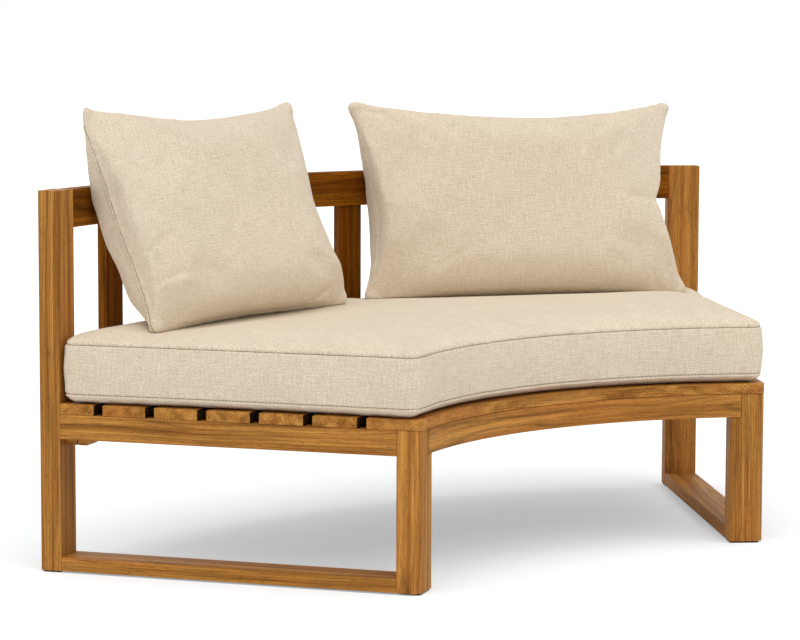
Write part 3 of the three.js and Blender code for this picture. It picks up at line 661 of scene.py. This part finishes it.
def blown_up(piece, hold, cap, evening):
    """Runs the cloth. hold is how firmly each point is held, from 0 to 1, and cap is how far one may move."""
    start = vertex_places(piece)
    held = piece.vertex_groups.new(name="held")
    steps = np.round(hold, 1)
    for step in np.unique(steps):
        held.add(np.flatnonzero(steps == step).tolist(), float(step), "REPLACE")
    cloth = piece.modifiers.new("cloth", "CLOTH")
    cloth.settings.use_pressure = True
    cloth.settings.uniform_pressure_force = PRESSURE
    cloth.settings.effector_weights.gravity = 0
    cloth.settings.vertex_group_mass = "held"
    cloth.point_cache.frame_start = 1
    cloth.point_cache.frame_end = CLOTH_FRAMES
    for number in range(1, CLOTH_FRAMES + 1):
        scene.frame_set(number)
    applied(piece)
    scene.frame_set(1)
    piece.vertex_groups.clear()
    moved = vertex_places(piece) - start
    far = np.linalg.norm(moved, axis=1)
    share = cap * np.tanh(far / cap) / np.maximum(far, 1e-9)
    moved = evened(piece, moved * share[:, None], evening)
    print(f"{piece.name}: cloth moved {far.mean() * 1000:.1f} mm on average, kept to {cap * 1000:.0f} mm")
    return start + moved


print(f"cloth: pressure {PRESSURE}, {CLOTH_FRAMES} frames")

# %% [markdown]
# ## Seams
# Two panels of cloth meet in a seam. The stitches pull it in, so it lies in a narrow valley between two
# slightly raised edges, and the cloth beside it puckers. Each seam here lies in a plane. Cutting the mesh
# along that plane, and once more on each side of it, gives three clean loops of edges: the middle one is
# pulled in and the outer two are raised.

# %% Seam helpers
SEAM_HALF_WIDTH = 0.0026
SEAM_DEPTH = 0.0030
SEAM_RAISE = 0.0008
PUCKER_REACH = 0.020
PUCKER_HEIGHT = 0.0014
PUCKER_SCALE = 62.0


def puckered(piece, place, normal):
    """Small waves in the cloth beside a seam that lies in a plane."""
    places = vertex_places(piece)
    normals = vertex_normals(piece)
    away = (places - np.array(place)) @ np.array(normal)
    fade = np.exp(-((away / PUCKER_REACH) ** 2))
    for index in np.flatnonzero(fade > 0.02):
        point = Vector(places[index]) * PUCKER_SCALE
        wave = noise.noise(point) + 0.5 * noise.noise(point * 2.1)
        places[index] += normals[index] * wave * fade[index] * PUCKER_HEIGHT
    place_vertices(piece, places)


def ring_order(verts):
    """The vertices of a closed ring of edges, one after the other. Steps back out of dead ends."""
    start = min(verts, key=lambda v: (round(v.co.x, 5), round(v.co.y, 5), v.co.z))
    ring, seen = [start], {start}
    while True:
        nearby = [edge.other_vert(ring[-1]) for edge in ring[-1].link_edges]
        steps = [vert for vert in nearby if vert in verts and vert not in seen]
        if steps:
            ring.append(min(steps, key=lambda v: (v.co - ring[-1].co).length))
            seen.add(ring[-1])
        elif start in nearby and len(ring) > len(verts) / 2:
            return ring
        else:
            ring.pop()


def sewn(piece, place, normal, ridge):
    """Shapes a seam along a plane and returns its points' numbers, in order round the seam.

    ridge is how far the cloth's edge on the plane's far side stands out.
    """
    bm = bmesh.new()
    bm.from_mesh(piece.data)
    place, normal = Vector(place), Vector(normal)
    for offset in (-SEAM_HALF_WIDTH, SEAM_HALF_WIDTH, 0.0):
        bmesh.ops.bisect_plane(
            bm, geom=[*bm.verts, *bm.edges, *bm.faces], dist=1e-5,
            plane_co=place + normal * offset, plane_no=normal,
        )
    bm.normal_update()
    bm.verts.index_update()
    on_seam, moves = set(), []
    for vert in bm.verts:
        away = (vert.co - place).dot(normal)
        if abs(away) < 2e-5:
            on_seam.add(vert)
            moves.append((vert, vert.normal * -SEAM_DEPTH))
        elif abs(abs(away) - SEAM_HALF_WIDTH) < 2e-5:
            moves.append((vert, vert.normal * (ridge if away < 0 else SEAM_RAISE)))
    ring = [vert.index for vert in ring_order(on_seam)]
    for vert, move in moves:
        vert.co += move
    bm.to_mesh(piece.data)
    bm.free()
    piece.data.shade_smooth()
    return ring


print(f"seams: {2 * SEAM_HALF_WIDTH * 1000:.1f} mm wide, {SEAM_DEPTH * 1000:.1f} mm deep")

# %% [markdown]
# ## Where the pillows stand
# The seat cushion has to know where the pillows press on it. So each pillow's own directions are found first,
# from its solid, which is symmetric: across its width, up its height and through its thickness.

# %% Pillow directions
class OwnFrame:
    """A pillow's middle and its directions: across, up and through, towards its front."""

    def __init__(self, node):
        solid = np.unique(np.array([v.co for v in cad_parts[node].data.vertices]).round(6), axis=0)
        self.middle = solid.mean(axis=0)
        _, axes = np.linalg.eigh(np.cov((solid - self.middle).T))
        across, up = axes[:, 2], axes[:, 1]
        across = across * np.sign(across[0])
        up = up * np.sign(up[2])
        self.axes = np.stack([across, up, np.cross(across, up)], axis=1)
        local = self.inside(solid)
        self.middle = self.middle + self.axes[:, 1] * (local[:, 1].max() + local[:, 1].min()) / 2
        local = self.inside(solid)
        self.half = abs(local).max(axis=0)
        self.rim = local[abs(local[:, 2]) < 1e-4]

    def inside(self, places):
        return (places - self.middle) @ self.axes

    def outside(self, local):
        return local @ self.axes.T + self.middle


pillow_frames = {node: OwnFrame(node) for node in ("left_pillow", "right_pillow")}
for node, own in pillow_frames.items():
    print(f"{node}: {[round(2 * size, 3) for size in own.half]} m across, up and through")

# %% [markdown]
# ## Seat cushion
# The seat cushion is boxed: a top and a bottom panel, joined by an upright band with a seam along each of its
# edges. Its filling pushes the top up into a crown, a little higher than the plain solid, but not where a
# pillow stands and presses it down. The band swells between its seams. Underneath it lies flat on the slats.

# %% Dents under the pillows
DENT_REACH, DENT_FRONT_REACH, DENT_BACK_REACH = 0.030, 0.130, 0.070
# How deep each pillow presses the crown's rise, at its left and at its right end. 1 is all the way.
DENT_DEPTH = {"left_pillow": (1.0, 0.0), "right_pillow": (0.45, 1.0)}


def dented(places):
    """How much of the crown's rise the pillows press down, from 0 to 1."""
    dent = np.zeros(len(places))
    for node, own in pillow_frames.items():
        ends = own.outside(np.array([[side * own.half[0], -own.half[1], 0] for side in (-1, 1)]))[:, :2]
        width = np.linalg.norm(ends[1] - ends[0])
        along = (ends[1] - ends[0]) / width
        run = (places[:, :2] - ends[0]) @ along
        ahead = (places[:, :2] - ends[0]) @ np.array([along[1], -along[0]])
        beside = np.maximum(0, np.maximum(-run, run - width))
        reach = DENT_REACH + (DENT_FRONT_REACH - DENT_REACH) * np.clip(ahead / DENT_REACH + 0.5, 0, 1)
        away = np.where(ahead > 0, ahead / DENT_FRONT_REACH, -ahead / DENT_BACK_REACH)
        near = 1 - np.clip(np.hypot(beside / reach, away), 0, 1)
        deep = np.interp(run / width, (0, 1), DENT_DEPTH[node])
        dent = np.maximum(dent, deep * near * near * (3 - 2 * near))
    return dent


print(f"dents: up to {DENT_FRONT_REACH * 1000:.0f} mm in front of a pillow")

# %% Seat cushion
REST_GAP = 0.0006
CUSHION_VOXEL = 0.008
CUSHION_CAP = 0.004
CUSHION_EVENING = 2
LOWER_SEAM_RISE = 0.018
UPPER_SEAM_RISE = 0.1085
SEAM_GRIP = 0.012
LOWER_RIDGE = 0.0034
LEFT_STRETCH = 0.008
WAVE_HEIGHT = 0.0012
WAVE_SCALE = 7.0
WAVE_START = 0.01
CROWN_RISE = 0.0138
CROWN_FULLNESS = 0.75


def within_posts(places):
    """Keeps the cushion's back clear of the posts and the stiles."""
    radius, angle = polar(places)
    radius = np.minimum(radius, RAIL_FACE_RADIUS - REST_GAP)
    held = places.copy()
    held[:, 0] = radius * np.sin(angle)
    held[:, 1] = radius * np.cos(angle) + ARC_CENTRE_Y
    return held


seat_low, seat_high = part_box("seat_cushion")
lower_seam = seat_low.z + LOWER_SEAM_RISE
upper_seam = seat_low.z + UPPER_SEAM_RISE
seat = evenly_meshed("seat_cushion", "seat_cushion_cover", merged_mesh("seat_cushion"), CUSHION_VOXEL)
places = vertex_places(seat)
from_seam = np.minimum(abs(places[:, 2] - lower_seam), abs(places[:, 2] - upper_seam))
hold = held_near(from_seam, SEAM_GRIP)
places = blown_up(seat, hold, CUSHION_CAP, CUSHION_EVENING)
crown = places[:, 2] > upper_seam
waves = np.array([noise.noise(Vector(place) * WAVE_SCALE) for place in places[crown]])
places[crown, 2] += waves * WAVE_HEIGHT * np.clip((places[crown, 2] - upper_seam) / WAVE_START, 0, 1)
rise = seat_high.z - upper_seam + CROWN_RISE * (1 - dented(places[crown]))
crown_share = (places[crown, 2] - upper_seam) / (places[:, 2].max() - upper_seam)
places[crown, 2] = upper_seam + rise * crown_share**CROWN_FULLNESS
places[:, 2] = np.maximum(places[:, 2], seat_low.z)
radius, angle = polar(places)
places[:, 0] -= LEFT_STRETCH * np.clip(-angle / HALF_ANGLE, 0, 1) * np.cos(angle)
places[:, 1] += LEFT_STRETCH * np.clip(-angle / HALF_ANGLE, 0, 1) * np.sin(angle)
place_vertices(seat, within_posts(places))
for height in (lower_seam, upper_seam):
    puckered(seat, (0, 0, height), (0, 0, 1))
lower_ring = sewn(seat, (0, 0, lower_seam), (0, 0, 1), ridge=LOWER_RIDGE)
upper_ring = sewn(seat, (0, 0, upper_seam), (0, 0, 1), ridge=SEAM_RAISE)
print(f"seat cushion: {len(seat.data.polygons)} faces, {len(lower_ring)} + {len(upper_ring)} seam points")

# %% [markdown]
# ## Threads on the panels
# The weave needs a place on the cloth for every corner of every face. The top panel is laid out as seen from
# above. The band is laid out along its length and its height, which is how it was cut.

# %% Weave map of the seat cushion
SIDE_SLOPE = 0.7


def face_values(piece):
    """For every face corner: its vertex's place, and its face's normal and middle."""
    loops, faces = piece.data.loops, piece.data.polygons
    counts = stored_numbers(faces, "loop_total", 1, np.int32)[:, 0]
    owner = np.repeat(np.arange(len(faces)), counts)
    corners = vertex_places(piece)[stored_numbers(loops, "vertex_index", 1, np.int32)[:, 0]]
    return corners, stored_numbers(faces, "normal", 3)[owner], stored_numbers(faces, "center", 3)[owner]


def store_weave(piece, across, along):
    layer = piece.data.uv_layers.new(name="weave")
    layer.data.foreach_set("uv", np.stack([across, along], axis=1).astype(np.float32).ravel())


def weave_seat():
    corners, normals, middles = face_values(seat)
    radius, angle = polar(corners)
    _, middle_angle = polar(middles)
    outward = normals[:, 0] * np.sin(middle_angle) + normals[:, 1] * np.cos(middle_angle)
    on_band = (middles[:, 2] < upper_seam) & (abs(normals[:, 2]) < SIDE_SLOPE)
    on_arc = abs(outward) > SIDE_SLOPE
    arc_radius = np.where(outward > 0, radius.max(), radius.min())
    along_band = np.where(on_arc, angle * arc_radius, radius)
    across = np.where(on_band, along_band, corners[:, 0])
    along = np.where(on_band, corners[:, 2], corners[:, 1])
    store_weave(seat, across, along)


weave_seat()
print(f"seat cushion: weave stored on {len(seat.data.loops)} face corners")

# %% [markdown]
# ## Pillows
# A loose pillow is two panels sewn together at their edges, and the seam lies in its middle plane. The
# filling draws the edges in between the corners, more on one side than on the other. The panels rise from the
# seam, steeply at the back and more gently in front. They are flatter beside the corners, where there is less
# filling, but each corner ends in a small round tip. A few small folds cross the front panels.

# %% Pillow outlines
# How far each edge stands out past the solid's, in millimetres, at places along it: -1 is its lower or left
# end, 0 its middle and 1 its other end. Below 0 the filling draws it in.
EDGES = {
    "left_pillow": {
        "left": [(-1, -10), (-0.75, -9), (-0.5, 0), (-0.4, 1), (-0.15, 13), (0.5, 16), (1, 20)],
        "right": [
            (-1, 3), (-0.8, 3), (-0.6, -12), (-0.2, -31), (0, -36), (0.3, -26), (0.6, -6), (0.8, 8), (1, 10),
        ],
        "top": [(-1, 1), (-0.8, 0), (-0.5, -15), (-0.2, -20), (0.2, -13), (0.7, -5), (1, 1)],
        "bottom": [(-1, 0), (-0.5, -4), (0, -8), (0.7, -10), (1, -16)],
    },
    "right_pillow": {
        "left": [(-1, 1), (-0.85, 2), (-0.6, -9), (-0.1, -7), (0.1, -1), (0.24, -1), (0.5, 2), (1, 2)],
        "right": [
            (-1, 0), (-0.6, -14), (-0.2, -32), (-0.06, -42), (0.1, -22), (0.5, -12), (0.78, -1), (1, 0),
        ],
        "top": [(-1, 6), (-0.6, 0), (-0.2, -5), (0.2, -9), (0.8, -4), (1, -2)],
        "bottom": [(-1, -4), (-0.5, -7), (0.2, -6), (0.6, -2), (1, 2)],
    },
}
EDGE_BLUR = 0.05


def stands_out(node, edge, place):
    """How far an edge stands out at places along it, in metres."""
    places, amounts = zip(*EDGES[node][edge])
    near = [np.interp(place + offset * EDGE_BLUR, places, amounts) for offset in (-1, -0.5, 0, 0.5, 1)]
    return np.mean(near, axis=0) / 1000


furthest = max(abs(out) for edges in EDGES.values() for edge in edges.values() for _, out in edge)
print(f"pillow edges: up to {furthest} mm off the solid's")

# %% Pillow panels
SLIM_SHARE = 0.95
FRONT_REACH, TOP_REACH, BOTTOM_REACH = 0.15, 0.13, 0.09
BACK_REACH = {"left_pillow": 0.06, "right_pillow": 0.11}
BACK_SHARE = {"left_pillow": 0.90, "right_pillow": 1.0}
SWELL_POWER = 4
FLAT_TOP_REACH = {"left_pillow": 0.20, "right_pillow": 0.28}
FLAT_BOTTOM_REACH = {"left_pillow": 0.09, "right_pillow": 0.14}
FLAT_SIDE_REACH = 0.09
FLATTEST = 0.2
# Folds in the front panels: both ends, as shares of the pillow's size, then depth and width in millimetres.
FOLDS = {
    "left_pillow": [
        ((0.70, -0.83), (0.44, -0.97), 7.0, 6), ((-0.97, 0.94), (-0.86, 0.90), 3.5, 5),
        ((-0.96, -0.64), (-0.76, -0.58), 3.6, 7), ((-0.96, -0.36), (-0.82, -0.26), 2.6, 7),
    ],
    "right_pillow": [
        ((0.86, -0.08), (0.62, -0.04), 4.5, 9), ((-0.95, 0.94), (-0.82, 0.88), 3.5, 5),
        ((0.80, -0.95), (0.74, -0.80), 3.0, 7),
    ],
}


def swell(distance, reach):
    """How far a panel has risen at a distance from its seam, as a share of the whole rise."""
    rest = 1 - np.clip(distance / reach, 0.0005, 1)
    return (1 - rest**SWELL_POWER) ** 0.5


def shaped_pillow(local, own, node):
    """Gives the panels their swell, flatter at the corners, and moves the edges."""
    across = np.clip(local[:, 0] / own.half[0], -1, 1)
    up = np.clip(local[:, 1] / own.half[1], -1, 1)
    from_side = own.half[0] * (1 - abs(across))
    from_end = own.half[1] * (1 - abs(up))
    facing = np.where(abs(local[:, 2]) < 1e-4, 0, np.sign(local[:, 2]))
    rise = swell(from_side, np.where(facing > 0, FRONT_REACH, BACK_REACH[node]))
    rise *= swell(from_end, np.where(up > 0, TOP_REACH, BOTTOM_REACH))
    reach = np.where(up > 0, FLAT_TOP_REACH[node], FLAT_BOTTOM_REACH[node])
    slack = 1 - np.clip(from_end / reach + FLATTEST, 0, 1)
    flat = 1 - slack * np.exp(-((from_side / FLAT_SIDE_REACH) ** 2))
    flat = np.where(facing < 0, flat * BACK_SHARE[node], flat)
    shaped = local.copy()
    shaped[:, 2] = facing * own.half[2] * SLIM_SHARE * rise * flat
    sideways = np.where(across > 0, stands_out(node, "right", up), -stands_out(node, "left", up))
    upwards = np.where(up > 0, stands_out(node, "top", across), -stands_out(node, "bottom", across))
    shaped[:, 0] += sideways * abs(across)
    shaped[:, 1] += upwards * abs(up)
    return shaped


def folded(local, own, node):
    """Presses the small folds into the front panel."""
    pressed = local.copy()
    for start, end, depth, width in FOLDS[node]:
        start, line = start * own.half[:2], np.subtract(end, start) * own.half[:2]
        run = np.clip((local[:, :2] - start) @ line / (line @ line), 0, 1)
        away = np.linalg.norm(local[:, :2] - start - run[:, None] * line, axis=1)
        share = np.exp(-((away / width * 1000) ** 2)) * np.clip(local[:, 2] / own.half[2] * 4, 0, 1)
        pressed[:, 2] -= depth / 1000 * share
    return pressed


print(f"pillow panels: {sum(map(len, FOLDS.values()))} small folds")

# %% Pillow solids
PILLOW_CUTS = 4
EDGE_ROLL = 0.007
EDGE_STEP = 0.004
CORNER_ROLL = 0.014
CORNER_LENGTH = 0.034


def shaped_solid(node, own):
    """The pillow's solid, cut finer and shaped, with balls inside its rim that round the corners."""
    solid = merged_mesh(node)
    bmesh.ops.subdivide_edges(solid, edges=solid.edges, cuts=PILLOW_CUTS, use_grid_fill=True)
    places = own.outside(shaped_pillow(own.inside(np.array([v.co for v in solid.verts])), own, node))
    for vert, place in zip(solid.verts, places):
        vert.co = place
    turn = np.argsort(np.arctan2(own.rim[:, 1] / own.half[1], own.rim[:, 0] / own.half[0]))
    rim = own.rim[turn]
    from_corner = np.linalg.norm(own.half[:2] - abs(rim[:, :2]), axis=1)
    roll = EDGE_ROLL + (CORNER_ROLL - EDGE_ROLL) * np.clip(1 - from_corner / CORNER_LENGTH, 0, 1)
    rim = shaped_pillow(rim, own, node)
    rim[:, :2] *= 1 - (roll - EDGE_ROLL / 2)[:, None] / own.half[:2]
    balls = np.column_stack([own.outside(rim), roll])
    for first, second in zip(balls, np.roll(balls, -1, axis=0)):
        steps = max(1, math.ceil(np.linalg.norm((second - first)[:3]) / EDGE_STEP))
        for step in range(steps):
            ball = first + (second - first) * step / steps
            place = Matrix.Translation(Vector(ball[:3]))
            bmesh.ops.create_icosphere(solid, subdivisions=2, radius=float(ball[3]), matrix=place)
    return solid


print(f"pillow corners: round tips of {CORNER_ROLL * 1000:.0f} mm radius")

# %% [markdown]
# Each pillow leans on the top rail, which presses a shallow hollow into its back, and it stands on the seat
# cushion. Its filling has sunk a little, so its lower part spreads on the cushion and lies flat there.

# %% Pillows
PILLOW_VOXEL = 0.0055
PILLOW_CAP = 0.006
PILLOW_EVENING = 8
PILLOW_GRIP = 0.016
SETTLE = {"left_pillow": 0.003, "right_pillow": 0.009}
SETTLE_REACH = 0.09
BULGE_PAST_RAIL = 0.0035
BULGE_START = 0.01


def clear_of_rail(places):
    """Keeps cloth in front of the top rail's face. Above and below the rail it may bulge a little past it."""
    radius, angle = polar(places)
    past = np.maximum(0, np.maximum(RAIL_LOW - places[:, 2], places[:, 2] - RAIL_HIGH))
    bulge = BULGE_PAST_RAIL * np.clip(past / BULGE_START, 0, 1)
    radius = np.minimum(radius, RAIL_FACE_RADIUS - REST_GAP + bulge)
    held = places.copy()
    held[:, 0] = radius * np.sin(angle)
    held[:, 1] = radius * np.cos(angle) + ARC_CENTRE_Y
    return held


def settled(places, sunk_by, surface):
    """Lets the lowest part sink by its own weight, and lays it flat on the surface below it."""
    sunk = places.copy()
    near = np.clip(1 - (places[:, 2] - seat_high.z) / SETTLE_REACH, 0, 1)
    sunk[:, 2] -= sunk_by * near**2
    for index in np.flatnonzero(near > 0.5):
        hit = surface.ray_cast(Vector((*sunk[index][:2], 1.0)), Vector((0, 0, -1)))[0]
        if hit is not None:
            sunk[index, 2] = max(sunk[index, 2], hit.z + REST_GAP)
    return sunk


def weave_pillow(piece, own):
    corners, normals, _ = face_values(piece)
    local, tilt = own.inside(corners), normals @ own.axes
    edge_on = np.maximum(tilt[:, 0] ** 2 + tilt[:, 1] ** 2, 1e-6)
    fall = own.half[2] - abs(local[:, 2])
    across = local[:, 0] + np.sign(local[:, 0]) * fall * tilt[:, 0] ** 2 / edge_on
    up = local[:, 1] + np.sign(local[:, 1]) * fall * tilt[:, 1] ** 2 / edge_on
    store_weave(piece, across, up)


def make_pillow(node, own):
    piece = evenly_meshed(node, f"{node}_cover", shaped_solid(node, own), PILLOW_VOXEL)
    local = own.inside(vertex_places(piece))
    hold = held_near(abs(local[:, 2]), PILLOW_GRIP)
    blown = own.inside(blown_up(piece, hold, PILLOW_CAP, PILLOW_EVENING))
    place_vertices(piece, own.outside(folded(blown, own, node)))
    through = own.axes[:, 2]
    puckered(piece, own.middle, through)
    ring = sewn(piece, own.middle, through, ridge=SEAM_RAISE)
    weave_pillow(piece, own)
    places = clear_of_rail(vertex_places(piece))
    place_vertices(piece, settled(places, SETTLE[node], seat_surface))
    print(f"{piece.name}: {len(piece.data.polygons)} faces, seam of {len(ring)} points")
    return piece, ring


seat_surface = BVHTree.FromObject(seat, bpy.context.evaluated_depsgraph_get())
pillows = {node: make_pillow(node, own) for node, own in pillow_frames.items()}

# %% Smooth the cloth
for piece in [seat, *(pillow for pillow, _ in pillows.values())]:
    smooth = piece.modifiers.new("smooth", "SUBSURF")
    smooth.levels = smooth.render_levels = 1
print("cloth: one subdivision on each of the three covers")

# %% [markdown]
# ## Stitches
# The seams are closed with a brown thread, a little darker than the linen. It shows in the valley of each
# seam as a row of short stitches. Each stitch is a slim bead that lies on the finished cloth and is turned a
# little off the seam's direction, as a twisted thread is.

# %% Stitches
THREAD_BROWN = (0.270, 0.208, 0.138, 1)
THREAD_RADIUS = 0.00065
STITCH_TURN = math.radians(4)


def make_thread():
    material, tree, shader = start_material("thread")
    place = add_node(tree, "ShaderNodeTexCoord").outputs["Object"]
    fibre = scaled_noise(tree, place, (900, 900, 900), detail=2.0).outputs["Fac"]
    shade = grey(tree, ranged(tree, fibre, 0.3, 0.7, 0.7, 1.25))
    tree.links.new(mixed(tree, 1.0, THREAD_BROWN, shade, blend="MULTIPLY"), shader.inputs["Base Color"])
    shader.inputs["Roughness"].default_value = 0.85
    return material


def stitched(name, piece, body, ring, length, spacing):
    """A row of stitches along a seam of the finished cloth."""
    cloth = piece.evaluated_get(bpy.context.evaluated_depsgraph_get()).to_mesh()
    closed = [cloth.vertices[index] for index in (*ring, ring[0])]
    points = [vert.co.copy() for vert in closed]
    outward = [vert.normal.copy() for vert in closed]
    run = np.cumsum([0.0, *((b - a).length for a, b in zip(points, points[1:]))])
    middles = np.arange(spacing / 2, run[-1], spacing)
    bm = bmesh.new()
    for middle in middles:
        step = min(int(np.searchsorted(run, middle)) - 1, len(points) - 2)
        share = (middle - run[step]) / max(run[step + 1] - run[step], 1e-9)
        centre = points[step].lerp(points[step + 1], share)
        along = (points[step + 1] - points[step]).normalized()
        out = outward[step].lerp(outward[step + 1], share).normalized()
        side = out.cross(along).normalized()
        along = (along * math.cos(STITCH_TURN) + side * math.sin(STITCH_TURN)).normalized()
        side = out.cross(along).normalized()
        turn = Matrix((along, side, along.cross(side))).transposed().to_4x4()
        size = Matrix.Diagonal((length / 2, THREAD_RADIUS, THREAD_RADIUS, 1))
        place = Matrix.Translation(centre + out * THREAD_RADIUS * 0.5)
        bmesh.ops.create_icosphere(bm, subdivisions=1, radius=1, matrix=place @ turn @ size)
    row = add_piece(name, bm, body, thread)
    print(f"{name}: {len(middles)} stitches on a seam of {run[-1]:.2f} m")
    return row


thread = make_thread()
stitched("seat_cushion_upper_stitches", seat, "seat_cushion", upper_ring, length=0.0090, spacing=0.0056)
stitched("seat_cushion_lower_stitches", seat, "seat_cushion", lower_ring, length=0.0066, spacing=0.0070)
for node, (pillow, ring) in pillows.items():
    stitched(f"{node}_stitches", pillow, node, ring, length=0.0080, spacing=0.0056)

# %% [markdown]
# ## Glides and screws
# The thin pads under the legs are black plastic, a little rough. The screws in the corner blocks are plated
# steel. Both are small, so a fine grain in their colour and roughness is enough.

# %% Hardware materials
def make_plain(name, colour, roughness, metallic, grain_scale):
    material, tree, shader = start_material(name)
    place = add_node(tree, "ShaderNodeTexCoord").outputs["Object"]
    speck = scaled_noise(tree, place, (grain_scale,) * 3, detail=3.0).outputs["Fac"]
    shade = grey(tree, ranged(tree, speck, 0.3, 0.7, 0.85, 1.15))
    tree.links.new(mixed(tree, 1.0, colour, shade, blend="MULTIPLY"), shader.inputs["Base Color"])
    rough = ranged(tree, speck, 0.3, 0.7, roughness - 0.1, roughness + 0.1)
    tree.links.new(rough, shader.inputs["Roughness"])
    shader.inputs["Metallic"].default_value = metallic
    return material


black_plastic = make_plain("black_plastic", (0.012, 0.010, 0.009, 1), 0.7, 0.0, 900)
zinc = make_plain("zinc", (0.36, 0.35, 0.32, 1), 0.38, 1.0, 1500)
small_parts = {"glide": black_plastic, "screw": zinc}
for node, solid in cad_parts.items():
    for word, material in small_parts.items():
        if word in node:
            solid.data.materials.clear()
            solid.data.materials.append(material)
print("hardware: black_plastic on 4 glides, zinc on 8 screws")

# %% Sizes
visual_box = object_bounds()
for label, (low, high) in (("CAD", cad_box), ("visual", visual_box)):
    print(f"{label} box: {[round(c, 4) for c in low]} to {[round(c, 4) for c in high]}")
